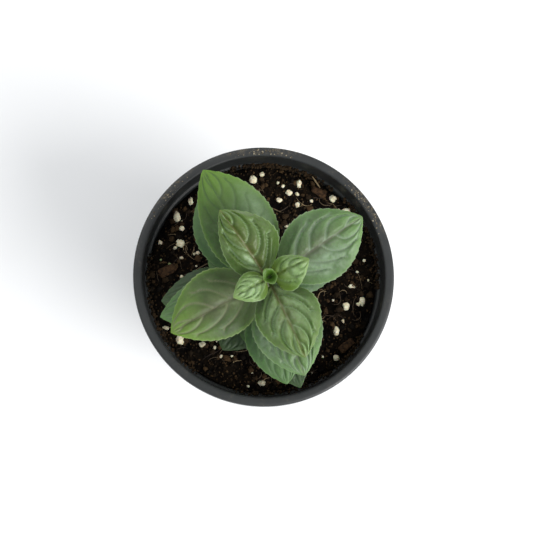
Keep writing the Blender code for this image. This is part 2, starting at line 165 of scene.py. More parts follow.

# how each kind of leaf skin is coloured: sRGB hex, and how far a tint spreads
SKINS = {
    # painted shade: the bud skin lines the inside of the cup, darker than the crown skin outside and
    # near black at its base deep in the cup
    "bud": dict(deep="2B460C", pale="3E5D14", vein="58702A", tip="4E6F20", base="0B1A04",
                flush="40511D", bright="7B945B", flush_share=0.0, gloss=(0.4, 0.5), vein_share=0.2,
                base_reach=0.42, furrow_shade_share=0, lip_highlight_share=0, hair=0.06),
    "crown": dict(deep="4B6628", pale="6F8B52", vein="5F7A3F", tip="6E8848", base="4F660D",
                  flush="526222", bright="94AD81", flush_share=0.30, gloss=(0.36, 0.48),
                  vein_share=0.4, base_reach=0.6, furrow_shade_share=0.35, lip_highlight_share=0.35, hair=0.18),
    "young": dict(deep="405420", pale="5B7140", vein="4F6638", tip="597132", base="39540A",
                  flush="61522D", bright="8FA87F", flush_share=0.30, gloss=(0.36, 0.48),
                  vein_share=0.45, base_reach=0.5, furrow_shade_share=0.7, lip_highlight_share=0.6, hair=0.12),
    # painted light: this skin's base colour is paler than its blade, so the foot of the leaf, which
    # lies under other leaves, looks lit
    "flushed": dict(deep="34441D", pale="46592D", vein="7A7A5F", tip="648428", base="64784A",
                    flush="47432D", bright="7A8A62", flush_share=0.62, gloss=(0.50, 0.62),
                    vein_share=0.55, base_reach=0.3, furrow_shade_share=0.45, lip_highlight_share=0.3, hair=0.10),
    "silvered_and_highlit": dict(deep="425932", pale="5C764B", vein="889A7F", tip="618246", base="4D6634",
                     flush="666252", bright="82967B", flush_share=0.40, gloss=(0.38, 0.50),
                     vein_share=0.8, base_reach=0.3, furrow_shade_share=0.45, lip_highlight_share=0.5, hair=0.20),
    "sunlit": dict(deep="3C5329", pale="51673F", vein="445B32", tip="5F8220", base="425934",
                   flush="48522F", bright="6D8462", flush_share=0.15, gloss=(0.50, 0.62),
                   vein_share=0.6, base_reach=0.3, furrow_shade_share=0.5, lip_highlight_share=0.08, hair=0.10),
    "mature": dict(deep="395430", pale="526D46", vein="5F7654", tip="52743B", base="405438",
                   flush="495236", bright="6D8262", flush_share=0.15, gloss=(0.45, 0.58),
                   vein_share=0.5, base_reach=0.3, furrow_shade_share=0.45, lip_highlight_share=0.2, hair=0.12),
    # painted shade: a darker copy of the mature skin for the low leaves in the shadow of those above
    "painted_shade": dict(deep="283B1F", pale="384D32", vein="40563B", tip="384D28", base="2D3F26",
                   flush="343B29", bright="4B5F46", flush_share=0.15, gloss=(0.5, 0.62),
                   vein_share=0.4, base_reach=0.3, furrow_shade_share=0.4, lip_highlight_share=0.1, hair=0.08),
}

# x, y on the soil, then the chip's length, width and turn
BARK = (
    (-38.0, 3.0, 7.0, 4.0, 25.0), (33.0, -26.5, 6.5, 3.2, 40.0),
    (22.5, 35.0, 6.0, 3.0, 150.0), (-19.0, 35.5, 5.0, 3.0, 80.0),
)
BARK_THICKNESS = 1.5
BARK_SECTIONS = ((-0.5, 0.75), (-0.42, 1.0), (0.0, 0.95), (0.42, 0.75), (0.5, 0.5))
PERLITE_COUNT = 22
ALGAE_PLACE = (-38.0, 6.5)     # mm, where the grains are tinged green
ALGAE_REACH = (3.0, 6.0)       # mm, the tinge is full inside the first and gone past the second

# x, y and size of the middling grains
PLACED_PERLITE = (
    (8.0, 37.5, 1.6), (13.8, 34.5, 1.7), (6.0, 39.0, 1.3), (19.5, 31.5, 1.5), (-41.0, 14.0, 1.9),
    (-35.0, 12.0, 1.8), (-26.0, 10.0, 1.7), (-32.5, 8.0, 1.6), (-37.0, 5.5, 1.5), (-19.0, -27.5, 1.5),
    (-16.5, -31.0, 1.6), (42.0, -0.5, 1.2), (40.5, 7.5, 1.3), (28.0, -8.5, 1.1), (30.5, 28.0, 1.2),
)
GRAIN_FILL = 1.06
DULL_GRAINS = (14, 20, 12)

# ---- the studio, in metres and degrees --------------------------------------------------------
CAMERA_DISTANCE = 0.5
CAMERA_TILT = 8.5              # degrees off straight down
CAMERA_AZIMUTH = -20.0
CAMERA_LENS = 86.7
AIM_RIGHT = 0.00083
AIM_UP = 0.00328
KEY_PLACE = (0.55, -0.35, 0.58)
FILL_PLACE = (-0.35, 0.50, 0.80)
LIGHT_AIM = (0.0, 0.0, 0.1)
PAPER_DROP = -0.0001           # keeps the paper just clear of the pot's foot


# ---- colours and material helpers --------------------------------------------------------------
def hex_to_linear(code):
    """An sRGB hex colour as a linear RGBA tuple."""
    channels = [int(code[i:i + 2], 16) / 255.0 for i in (0, 2, 4)]
    linear = [c / 12.92 if c <= 0.04045 else ((c + 0.055) / 1.055) ** 2.4 for c in channels]
    return (*linear, 1.0)


def new_material(name, **sockets):
    """A material with one Principled shader; the given socket values are constants."""
    material = bpy.data.materials.new(name)
    material.use_nodes = True
    shader = material.node_tree.nodes["Principled BSDF"]
    for socket, value in sockets.items():
        shader.inputs[socket.replace("_", " ")].default_value = value
    return material, material.node_tree, shader


def add_node(tree, kind, inputs=(), output=0, **settings):
    """Add one node and give one of its outputs; inputs are constants, or sockets to link from."""
    node = tree.nodes.new("ShaderNode" + kind)
    for name, value in settings.items():
        setattr(node, name, value)
    named = inputs if isinstance(inputs, dict) else dict(enumerate(inputs))
    for name, value in named.items():
        if isinstance(value, bpy.types.NodeSocket):
            tree.links.new(value, node.inputs[name])
        else:
            node.inputs[name].default_value = value
    return node.outputs[output]


RGBA_MIX = dict(output=2, data_type="RGBA")     # the settings and the output that mix two colours


# ---- mesh helpers ----------------------------------------------------------------------------
def make_piece(name, points, faces, materials, face_slots=None, masks=None, sharp=None):
    """Make an object from points in millimetres; masks are named values, one per point."""
    mesh = bpy.data.meshes.new(name)
    mesh.from_pydata([tuple(point) for point in np.asarray(points) * MM], [], faces)
    for material in materials:
        mesh.materials.append(material)
    if face_slots is not None:
        mesh.polygons.foreach_set("material_index", np.asarray(face_slots, dtype=np.int32))
    for mask, values in (masks or {}).items():
        layer = mesh.attributes.new(mask, "FLOAT", "POINT")
        layer.data.foreach_set("value", np.asarray(values, dtype=np.float32))
    turn_faces_out(mesh)
    mesh.shade_smooth()
    if sharp is not None:
        mesh.set_sharp_from_angle(angle=math.radians(sharp))
    piece = bpy.data.objects.new(name, mesh)
    bpy.context.scene.collection.objects.link(piece)
    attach(piece, BODY)
    return piece


def turn_faces_out(mesh):
    """Point every shell's faces outwards."""
    work = bmesh.new()
    work.from_mesh(mesh)
    bmesh.ops.recalc_face_normals(work, faces=work.faces)
    work.to_mesh(mesh)
    work.free()


def ring_faces(rings, around, cap=True):
    """Quads between rings of equally many points, and an end cap each."""
    faces = []
    for ring in range(rings - 1):
        for i in range(around):
            j = (i + 1) % around
            faces.append((ring * around + i, ring * around + j,
                          (ring + 1) * around + j, (ring + 1) * around + i))
    if cap:
        faces.append(tuple(range(around))[::-1])
        faces.append(tuple(range((rings - 1) * around, rings * around)))
    return faces


def turned_surface(profile, segments, closed):
    """Points and faces of a profile of (radius, z) turned once round the upright axis."""
    angles = np.arange(segments) * (2.0 * math.pi / segments)
    profile = np.asarray(profile)
    points = np.stack([profile[:, 0, None] * np.cos(angles), profile[:, 0, None] * np.sin(angles),
                       np.repeat(profile[:, 1, None], segments, axis=1)], axis=-1)
    return points.reshape(-1, 3), ring_faces(len(profile), segments, closed)


def rounded_profile(corners, cuts=3):
    """Round each (radius, z, fillet) corner of an open profile with a short arc."""
    rounded = []
    for index, (x, z, fillet) in enumerate(corners):
        here = np.array((x, z))
        if fillet == 0.0 or index in (0, len(corners) - 1):
            rounded.append(here)
            continue
        before = np.array(corners[index - 1][:2]) - here
        after = np.array(corners[index + 1][:2]) - here
        reach = min(fillet, 0.45 * np.linalg.norm(before), 0.45 * np.linalg.norm(after))
        start = here + before / np.linalg.norm(before) * reach
        end = here + after / np.linalg.norm(after) * reach
        for step in range(cuts + 1):
            t = step / cuts
            rounded.append((1 - t) ** 2 * start + 2 * t * (1 - t) * here + t * t * end)
    return rounded


def lump_template(detail):
    """Unit sphere points and faces of an icosphere with the given detail."""
    work = bmesh.new()
    bmesh.ops.create_icosphere(work, subdivisions=detail, radius=1.0)
    points = np.array([vertex.co[:] for vertex in work.verts])
    faces = [tuple(vertex.index for vertex in face.verts) for face in work.faces]
    work.free()
    return points, faces


class Gathering:
    """Collects many small shells into one mesh."""

    def __init__(self):
        self.points = []
        self.faces = []
        self.shade = []

    def add(self, points, faces, shade=0.5):
        """Add one shell with its own shade."""
        start = len(self.points)
        self.points.extend(points)
        self.faces.extend(tuple(start + index for index in face) for face in faces)
        self.shade.extend([shade] * len(points))

    def piece(self, name, material, sharp=None):
        """Turn the gathered shells into one object."""
        return make_piece(name, self.points, self.faces, [material], masks={"shade": self.shade},
                          sharp=sharp)


def rough_lump(template, centre, size, dice, roughness=0.25):
    """One irregular crumb: a stretched, dented copy of the template."""
    points, faces = template
    offset = Vector([dice.uniform(-50.0, 50.0) for _ in range(3)])
    dents = np.array([noise.noise(Vector(point) * 1.6 + offset) for point in points])
    shaped = points * (1.0 + roughness * 2.0 * dents)[:, None] * (0.5 * np.asarray(size))
    turn = dice.uniform(0.0, 2.0 * math.pi)
    cosine, sine = math.cos(turn), math.sin(turn)
    spun = np.stack([shaped[:, 0] * cosine - shaped[:, 1] * sine,
                     shaped[:, 0] * sine + shaped[:, 1] * cosine, shaped[:, 2]], axis=-1)
    return spun + np.asarray(centre), faces


# ---- materials -------------------------------------------------------------------------------
def moulded_polypropylene(colour, dirt, dust):
    """Recycled polypropylene, injection moulded: satin, faintly grained, dusted with dry soil."""
    material, tree, shader = new_material("moulded_polypropylene", IOR=1.49)
    place = add_node(tree, "TexCoord", output="Object")
    wide = add_node(
        tree, "TexNoise",
        {"Vector": place, "Scale": 1.0 / (22.0 * MM), "Detail": 2.0, "Roughness": 0.55})
    grain = add_node(
        tree, "TexNoise",
        {"Vector": place, "Scale": 1.0 / (0.9 * MM), "Detail": 3.0, "Roughness": 0.55})
    plastic_spread = add_node(tree, "MapRange", (wide, 0.35, 0.65))
    plastic = add_node(
        tree, "Mix", {0: plastic_spread, 6: colour, 7: hex_to_linear("272929")},
        **RGBA_MIX)
    height = add_node(tree, "SeparateXYZ", {0: place}, output=2)
    upper = add_node(tree, "MapRange", (height, DUST_BAND[0] * MM, DUST_BAND[1] * MM))
    patches_noise = add_node(
        tree, "TexNoise",
        {"Vector": place, "Scale": 1.0 / (13.0 * MM), "Detail": 5.0, "Roughness": 0.72})
    patches_spread = add_node(tree, "MapRange", (patches_noise, 0.53, 0.72))
    patches = add_node(tree, "Math", (patches_spread, 0.5), operation="MULTIPLY")
    for angle in sorted(set(LIP_DIRT_ANGLES)):
        aim = (math.cos(math.radians(angle)), math.sin(math.radians(angle)), 0.0)
        reach = add_node(
            tree, "VectorMath", {0: place, 1: aim}, output="Value", operation="DOT_PRODUCT")
        near = add_node(tree, "MapRange", (reach, 0.93 * LIP_RADIUS * MM, 0.985 * LIP_RADIUS * MM))
        patches = add_node(tree, "Math", {0: patches, 1: near}, operation="MAXIMUM")
    specks_noise = add_node(
        tree, "TexNoise", {"Vector": place, "Scale": 1.0 / (1.3 * MM), "Detail": 4.0, "Roughness": 0.7})
    specks = add_node(tree, "MapRange", (specks_noise, 0.48, 0.62))
    speckled = add_node(tree, "Math", (patches, specks), operation="MULTIPLY")
    raised = add_node(tree, "Math", (speckled, upper), operation="MULTIPLY")
    dusty = add_node(tree, "Math", (raised, dust), operation="MULTIPLY")
    dirty = add_node(tree, "Mix", {0: dusty, 6: plastic, 7: dirt}, **RGBA_MIX)
    tree.links.new(dirty, shader.inputs["Base Color"])
    gloss_noise = add_node(
        tree, "TexNoise",
        {"Vector": place, "Scale": 1.0 / (5.0 * MM), "Detail": 3.0, "Roughness": 0.55})
    gloss = add_node(tree, "MapRange", (gloss_noise, 0.3, 0.7, 0.36, 0.52))
    matte_share = add_node(tree, "Math", (dusty, 0.9), operation="MULTIPLY")
    matte = add_node(tree, "Math", {0: gloss, 1: matte_share}, operation="MAXIMUM")
    tree.links.new(matte, shader.inputs["Roughness"])
    normal = add_node(tree, "Bump", {"Strength": 0.35, "Distance": 0.05 * MM, "Height": grain})
    tree.links.new(normal, shader.inputs["Normal"])
    return material


def peat_potting_mix(peat):
    """Milled peat and composted bark, moist: matte and crumbly, with painted shade that turns the
    hollows almost black.
    """
    material, tree, shader = new_material("peat_potting_mix", Roughness=0.95, Specular_IOR_Level=0.08)
    place = add_node(tree, "TexCoord", output="Object")
    broad_noise = add_node(
        tree, "TexNoise",
        {"Vector": place, "Scale": 1.0 / (9.0 * MM), "Detail": 4.0, "Roughness": 0.55})
    broad = add_node(tree, "MapRange", (broad_noise, 0.35, 0.65))
    fine_noise = add_node(
        tree, "TexNoise", {"Vector": place, "Scale": 1.0 / (1.1 * MM), "Detail": 4.0, "Roughness": 0.7})
    fine = add_node(tree, "MapRange", (fine_noise, 0.4, 0.66))
    earth = add_node(
        tree, "Mix", {0: broad, 6: hex_to_linear("040302"), 7: peat}, **RGBA_MIX)
    fleck_share = add_node(tree, "Math", (fine, 0.55), operation="MULTIPLY")
    fleck = add_node(tree, "Mix", {0: fleck_share, 6: earth, 7: hex_to_linear("2C2011")}, **RGBA_MIX)
    # painted shade: where the crumbly relief is low, the soil is mixed towards black
    shade_mask = add_node(tree, "Attribute", output="Fac", attribute_name="shade")
    hollow_shade_spread = add_node(tree, "MapRange", (shade_mask, 0.0, 1.0))
    painted_shade = add_node(tree, "Mix", {0: hollow_shade_spread, 6: hex_to_linear("030202"), 7: fleck}, **RGBA_MIX)
    tree.links.new(painted_shade, shader.inputs["Base Color"])
    relief_noise = add_node(
        tree, "TexNoise", {"Vector": place, "Scale": 1.0 / (0.7 * MM), "Detail": 4.0, "Roughness": 0.7})
    normal = add_node(tree, "Bump", {"Strength": 0.9, "Distance": 0.35 * MM, "Height": relief_noise})
    tree.links.new(normal, shader.inputs["Normal"])
    return material


def peat_crumb():
    """Loose crumbs of peat and bark fines, each its own shade of dark brown."""
    material, tree, shader = new_material("peat_crumb", Roughness=0.92, Specular_IOR_Level=0.12)
    place = add_node(tree, "TexCoord", output="Object")
    shade = add_node(tree, "Attribute", output="Fac", attribute_name="shade")
    crumb = add_node(
        tree, "Mix", {0: shade, 6: hex_to_linear("0A0805"), 7: hex_to_linear("4F3C26")}, **RGBA_MIX)
    mottled_noise = add_node(
        tree, "TexNoise",
        {"Vector": place, "Scale": 1.0 / (0.6 * MM), "Detail": 3.0, "Roughness": 0.55})
    mottled_spread = add_node(tree, "MapRange", (mottled_noise, 0.4, 0.6, 0.0, 0.5))
    mottled = add_node(
        tree, "Mix", {0: mottled_spread, 6: crumb, 7: hex_to_linear("120D09")}, **RGBA_MIX)
    tree.links.new(mottled, shader.inputs["Base Color"])
    relief_noise = add_node(
        tree, "TexNoise",
        {"Vector": place, "Scale": 1.0 / (0.4 * MM), "Detail": 3.0, "Roughness": 0.55})
    normal = add_node(tree, "Bump", {"Strength": 0.8, "Distance": 0.15 * MM, "Height": relief_noise})
    tree.links.new(normal, shader.inputs["Normal"])
    return material


def dry_dust():
    """Dried splashes of peat and perlite dust on the lip: chalky, tan to pale grey."""
    material, tree, shader = new_material("dry_dust", Roughness=0.95, IOR=1.4)
    place = add_node(tree, "TexCoord", output="Object")
    shade_mask = add_node(tree, "Attribute", output="Fac", attribute_name="shade")
    speck = add_node(
        tree, "Mix", {0: shade_mask, 6: hex_to_linear("4A4030"), 7: hex_to_linear("A69B84")},
        **RGBA_MIX)
    patch_noise = add_node(
        tree, "TexNoise",
        {"Vector": place, "Scale": 1.0 / (0.5 * MM), "Detail": 2.0, "Roughness": 0.55})
    patch = add_node(tree, "MapRange", (patch_noise, 0.4, 0.6, 0.0, 0.4))
    surface = add_node(tree, "Mix", {0: patch, 6: speck, 7: hex_to_linear("5E5342")}, **RGBA_MIX)
    tree.links.new(surface, shader.inputs["Base Color"])
    return material


def plant_fibre():
    """Dry peat and coir fibre: thin, matte, tan to dark brown."""
    material, tree, shader = new_material("plant_fibre", Roughness=0.8, IOR=1.45)
    place = add_node(tree, "TexCoord", output="Object")
    shade = add_node(tree, "Attribute", output="Fac", attribute_name="shade")
    strand = add_node(
        tree, "Mix", {0: shade, 6: hex_to_linear("2C1F16"), 7: hex_to_linear("8D7A59")}, **RGBA_MIX)
    streaks_noise = add_node(
        tree, "TexNoise",
        {"Vector": place, "Scale": 1.0 / (0.5 * MM), "Detail": 2.0, "Roughness": 0.55})
    streaks = add_node(tree, "MapRange", (streaks_noise, 0.35, 0.65, 0.0, 0.4))
    surface = add_node(tree, "Mix", {0: streaks, 6: strand, 7: hex_to_linear("24180F")}, **RGBA_MIX)
    tree.links.new(surface, shader.inputs["Base Color"])
    return material


def composted_bark(bark):
    """Composted pine bark: layered, fibrous, red-brown with darker grooves."""
    material, tree, shader = new_material("composted_bark", Roughness=0.9, Specular_IOR_Level=0.15)
    place = add_node(tree, "TexCoord", output="Object")
    layers_stretch = add_node(tree, "Mapping", {0: place, 3: (1.0, 1.0, 3.0)})
    layers = add_node(
        tree, "TexNoise",
        {"Vector": layers_stretch, "Scale": 1.0 / (1.2 * MM), "Detail": 4.0, "Roughness": 0.65})
    body_spread = add_node(tree, "MapRange", (layers, 0.35, 0.65))
    body = add_node(
        tree, "Mix", {0: body_spread, 6: hex_to_linear("1C130C"), 7: bark},
        **RGBA_MIX)
    tree.links.new(body, shader.inputs["Base Color"])
    normal = add_node(tree, "Bump", {"Strength": 0.9, "Distance": 0.3 * MM, "Height": layers})
    tree.links.new(normal, shader.inputs["Normal"])
    return material


def expanded_perlite(perlite):
    """Perlite popped by heat: off-white, chalky and pitted, stained by the wet peat."""
    material, tree, shader = new_material("expanded_perlite", Roughness=0.88, IOR=1.5,
                                          Subsurface_Weight=0.12, Subsurface_Scale=0.0015)
    place = add_node(tree, "TexCoord", output="Object")
    stain_noise = add_node(
        tree, "TexNoise", {"Vector": place, "Scale": 1.0 / (2.4 * MM), "Detail": 4.0, "Roughness": 0.6})
    stain = add_node(tree, "MapRange", (stain_noise, 0.5, 0.72, 0.0, 0.6))
    grain_noise = add_node(
        tree, "TexNoise",
        {"Vector": place, "Scale": 1.0 / (0.8 * MM), "Detail": 3.0, "Roughness": 0.55})
    grain_spread = add_node(tree, "MapRange", (grain_noise, 0.35, 0.65))
    grain = add_node(
        tree, "Mix", {0: grain_spread, 6: perlite, 7: hex_to_linear("D9CFA8")},
        **RGBA_MIX)
    stained = add_node(tree, "Mix", {0: stain, 6: grain, 7: hex_to_linear("8C7F60")}, **RGBA_MIX)
    shade_mask = add_node(tree, "Attribute", output="Fac", attribute_name="shade")
    dull_spread = add_node(tree, "MapRange", (shade_mask, 0.0, 1.0, 0.55, 0.0))
    dull = add_node(tree, "Mix", {0: dull_spread, 6: stained, 7: hex_to_linear("4C4634")}, **RGBA_MIX)
    away = add_node(
        tree, "VectorMath", {0: place, 1: (ALGAE_PLACE[0] * MM, ALGAE_PLACE[1] * MM, SOIL_LEVEL * MM)},
        output="Value", operation="DISTANCE")
    near, far = ALGAE_REACH
    algae_spread = add_node(tree, "MapRange", (away, near * MM, far * MM, 0.75, 0.0))
    algae = add_node(tree, "Mix", {0: algae_spread, 6: dull, 7: hex_to_linear("6E8434")}, **RGBA_MIX)
    tree.links.new(algae, shader.inputs["Base Color"])
    relief_noise = add_node(
        tree, "TexNoise", {"Vector": place, "Scale": 1.0 / (0.5 * MM), "Detail": 4.0, "Roughness": 0.7})
    normal = add_node(tree, "Bump", {"Strength": 0.8, "Distance": 0.25 * MM, "Height": relief_noise})
    tree.links.new(normal, shader.inputs["Normal"])
    return material


def herb_stem(green_wax):
    """Fresh square mint stem: waxy green flushed brown purple, with fine lengthwise ribs."""
    material, tree, shader = new_material("herb_stem", Roughness=0.5, IOR=1.42,
                                          Subsurface_Weight=0.1, Subsurface_Scale=0.001,
                                          Sheen_Weight=0.2, Sheen_Roughness=0.5)
    place = add_node(tree, "TexCoord", output="Object")
    flush_noise = add_node(
        tree, "TexNoise",
        {"Vector": place, "Scale": 1.0 / (6.0 * MM), "Detail": 3.0, "Roughness": 0.55})
    flush = add_node(tree, "MapRange", (flush_noise, 0.38, 0.62, 0.15, 0.85))
    green = add_node(
        tree, "Mix", {0: flush, 6: green_wax, 7: hex_to_linear("5E4538")}, **RGBA_MIX)
    ribs_stretch = add_node(tree, "Mapping", {0: place, 3: (1.0, 1.0, 0.12)})
    ribs = add_node(
        tree, "TexNoise",
        {"Vector": ribs_stretch, "Scale": 1.0 / (0.6 * MM), "Detail": 3.0, "Roughness": 0.6})
    lined_spread = add_node(tree, "MapRange", (ribs, 0.4, 0.6, 0.0, 0.35))
    lined = add_node(tree, "Mix", {0: lined_spread, 6: green, 7: hex_to_linear("7F8F5B")}, **RGBA_MIX)
    tree.links.new(lined, shader.inputs["Base Color"])
    normal = add_node(tree, "Bump", {"Strength": 0.6, "Distance": 0.12 * MM, "Height": ribs})
    tree.links.new(normal, shader.inputs["Normal"])
    return material


def mint_leaf_top(name, skin):
    """Mint leaf, upper side: quilted, softly waxy, paler along the sunken veins, with painted shade in
    the furrows and painted highlights on the lips, in pale patches and along the margin.
    """
    material, tree, shader = new_material("mint_leaf_" + name, Roughness=0.5, IOR=1.42,
                                          Subsurface_Weight=0.12, Subsurface_Scale=0.0012,
                                          Subsurface_Radius=(0.5, 1.0, 0.2),
                                          Sheen_Weight=skin["hair"], Sheen_Roughness=0.35)
    place = add_node(tree, "TexCoord", output="Object")
    shader.inputs["Sheen Tint"].default_value = hex_to_linear("E6EFDC")
    vein = add_node(tree, "Attribute", output="Fac", attribute_name="vein")
    midrib = add_node(tree, "Attribute", output="Fac", attribute_name="midrib")
    along = add_node(tree, "Attribute", output="Fac", attribute_name="along")
    edge = add_node(tree, "Attribute", output="Fac", attribute_name="edge")
    blotch_noise = add_node(
        tree, "TexNoise", {"Vector": place, "Scale": 1.0 / (7.0 * MM), "Detail": 4.0, "Roughness": 0.6})
    blotch = add_node(tree, "MapRange", (blotch_noise, 0.35, 0.68))
    blade = add_node(
        tree, "Mix", {0: blotch, 6: hex_to_linear(skin["deep"]), 7: hex_to_linear(skin["pale"])},
        **RGBA_MIX)
    cells_noise = add_node(
        tree, "TexNoise", {"Vector": place, "Scale": 1.0 / (0.9 * MM), "Detail": 4.0, "Roughness": 0.7})
    cells = add_node(tree, "MapRange", (cells_noise, 0.38, 0.62, 0.0, 0.35))
    blade = add_node(tree, "Mix", {0: cells, 6: blade, 7: hex_to_linear(skin["deep"])}, **RGBA_MIX)
    tipped_spread = add_node(tree, "MapRange", (along, 0.55, 1.0, 0.0, 0.8))
    tipped = add_node(
        tree, "Mix", {0: tipped_spread, 6: blade, 7: hex_to_linear(skin["tip"])}, **RGBA_MIX)
    margin_spread = add_node(tree, "MapRange", (edge, 0.86, 1.0, 0.0, 0.35))
    margin = add_node(
        tree, "Mix", {0: margin_spread, 6: tipped, 7: hex_to_linear(skin["tip"])}, **RGBA_MIX)
    # towards the leaf's foot the colour turns to the base colour: painted shade deep in the bud's cup,
    # painted light at the foot of the flushed leaf
    based_spread = add_node(tree, "MapRange", (along, 0.0, skin["base_reach"], 0.9, 0.0))
    based = add_node(
        tree, "Mix", {0: based_spread, 6: margin, 7: hex_to_linear(skin["base"])}, **RGBA_MIX)
    inner = add_node(tree, "MapRange", (edge, 0.0, 0.42, 1.0, 0.0))
    lower = add_node(tree, "MapRange", (along, 0.95, 0.45))
    flush_place = add_node(
        tree, "Math", (inner, lower), operation="MULTIPLY")
    flush = add_node(tree, "Math", (flush_place, skin["flush_share"]), operation="MULTIPLY")
    flushed = add_node(tree, "Mix", {0: flush, 6: based, 7: hex_to_linear(skin["flush"])}, **RGBA_MIX)
    # painted shade: the furrow beside each side vein is darkened towards the deep colour
    furrow_shade_mask = add_node(tree, "Attribute", output="Fac", attribute_name="furrow")
    furrow_shade_weight = add_node(tree, "Math", (furrow_shade_mask, skin["furrow_shade_share"]), operation="MULTIPLY")
    furrow_shaded = add_node(
        tree, "Mix", {0: furrow_shade_weight, 6: flushed, 7: hex_to_linear(skin["deep"])}, **RGBA_MIX)
    # painted highlight: the lip above each side vein is lightened towards the highlight colour
    lip_highlight_mask = add_node(tree, "Attribute", output="Fac", attribute_name="lip")
    lip_highlight_weight = add_node(tree, "Math", (lip_highlight_mask, skin["lip_highlight_share"]), operation="MULTIPLY")
    lip_highlit = add_node(
        tree, "Mix", {0: lip_highlight_weight, 6: furrow_shaded, 7: hex_to_linear(skin["bright"])}, **RGBA_MIX)
    veined_share = add_node(tree, "Math", (vein, skin["vein_share"]), operation="MULTIPLY")
    veined = add_node(
        tree, "Mix", {0: veined_share, 6: lip_highlit, 7: hex_to_linear(skin["vein"])}, **RGBA_MIX)
    ribbed_share = add_node(tree, "Math", (midrib, 0.75), operation="MULTIPLY")
    ribbed = add_node(
        tree, "Mix",
        {
            0: ribbed_share, 6: veined,
            7: hex_to_linear(skin["flush"] if skin["flush_share"] > 0.2 else skin["vein"])}, **RGBA_MIX)
    # painted highlight: pale patches, broken by noise, lighten the blade where a sheen of light lies
    painted_highlight_mask = add_node(tree, "Attribute", output="Fac", attribute_name="bright")
    lit_noise = add_node(
        tree, "TexNoise", {"Vector": place, "Scale": 1.0 / (2.2 * MM), "Detail": 4.0, "Roughness": 0.6})
    lit_spread = add_node(tree, "MapRange", (lit_noise, 0.34, 0.6, 0.35, 1.0))
    lit = add_node(tree, "Math", (painted_highlight_mask, lit_spread), operation="MULTIPLY")
    silvered_and_highlit = add_node(tree, "Mix", {0: lit, 6: ribbed, 7: hex_to_linear(skin["bright"])}, **RGBA_MIX)
    # painted highlight: a thin pale line along the very margin
    margin_highlight_spread = add_node(tree, "MapRange", (edge, 0.955, 1.0, 0.0, 0.45))
    margin_highlit = add_node(
        tree, "Mix", {0: margin_highlight_spread, 6: silvered_and_highlit, 7: hex_to_linear(skin["bright"])}, **RGBA_MIX)
    tree.links.new(margin_highlit, shader.inputs["Base Color"])
    gloss_noise = add_node(
        tree, "TexNoise",
        {"Vector": place, "Scale": 1.0 / (1.4 * MM), "Detail": 3.0, "Roughness": 0.55})
    gloss_spread = add_node(tree, "MapRange", (gloss_noise, 0.3, 0.7, *skin["gloss"]))
    tree.links.new(gloss_spread, shader.inputs["Roughness"])
    pebbles = add_node(
        tree, "TexVoronoi", {"Vector": place, "Scale": 1.0 / (0.8 * MM)}, output="Distance",
        feature="SMOOTH_F1")
    normal = add_node(tree, "Bump", {"Strength": 0.55, "Distance": 0.12 * MM, "Height": pebbles})
    tree.links.new(normal, shader.inputs["Normal"])
    return material


def mint_leaf_underside(downy):
    """Mint leaf, lower side: paler, matte and downy, with the veins standing out."""
    material, tree, shader = new_material("mint_leaf_underside", Roughness=0.68, IOR=1.4,
                                          Subsurface_Weight=0.1, Subsurface_Scale=0.001,
                                          Sheen_Weight=0.25, Sheen_Roughness=0.5)
    place = add_node(tree, "TexCoord", output="Object")
    vein = add_node(tree, "Attribute", output="Fac", attribute_name="vein")
    midrib = add_node(tree, "Attribute", output="Fac", attribute_name="midrib")
    blotch_noise = add_node(
        tree, "TexNoise",
        {"Vector": place, "Scale": 1.0 / (5.0 * MM), "Detail": 3.0, "Roughness": 0.55})
    blotch = add_node(tree, "MapRange", (blotch_noise, 0.35, 0.65))
    blade = add_node(
        tree, "Mix", {0: blotch, 6: downy, 7: hex_to_linear("768D66")}, **RGBA_MIX)
    veined_share = add_node(tree, "Math", (vein, 0.7), operation="MULTIPLY")
    veined = add_node(tree, "Mix", {0: veined_share, 6: blade, 7: hex_to_linear("95A57F")}, **RGBA_MIX)
    ribbed = add_node(tree, "Mix", {0: midrib, 6: veined, 7: hex_to_linear("908F6D")}, **RGBA_MIX)
    tree.links.new(ribbed, shader.inputs["Base Color"])
    relief_noise = add_node(
        tree, "TexNoise",
        {"Vector": place, "Scale": 1.0 / (0.6 * MM), "Detail": 3.0, "Roughness": 0.55})
    normal = add_node(tree, "Bump", {"Strength": 0.5, "Distance": 0.1 * MM, "Height": relief_noise})
    tree.links.new(normal, shader.inputs["Normal"])
    return material


def studio_paper(white):
    """Seamless white background paper: matte, faintly fibrous."""
    material, tree, shader = new_material("studio_paper", Roughness=0.9)
    place = add_node(tree, "TexCoord", output="Object")
    tone_noise = add_node(
        tree, "TexNoise",
        {"Vector": place, "Scale": 1.0 / (60.0 * MM), "Detail": 2.0, "Roughness": 0.55})
    tone = add_node(tree, "MapRange", (tone_noise, 0.3, 0.7, 0.0, 0.3))
    surface = add_node(
        tree, "Mix", {0: tone, 6: white, 7: hex_to_linear("F6F6F5")}, **RGBA_MIX)
    tree.links.new(surface, shader.inputs["Base Color"])
    return material


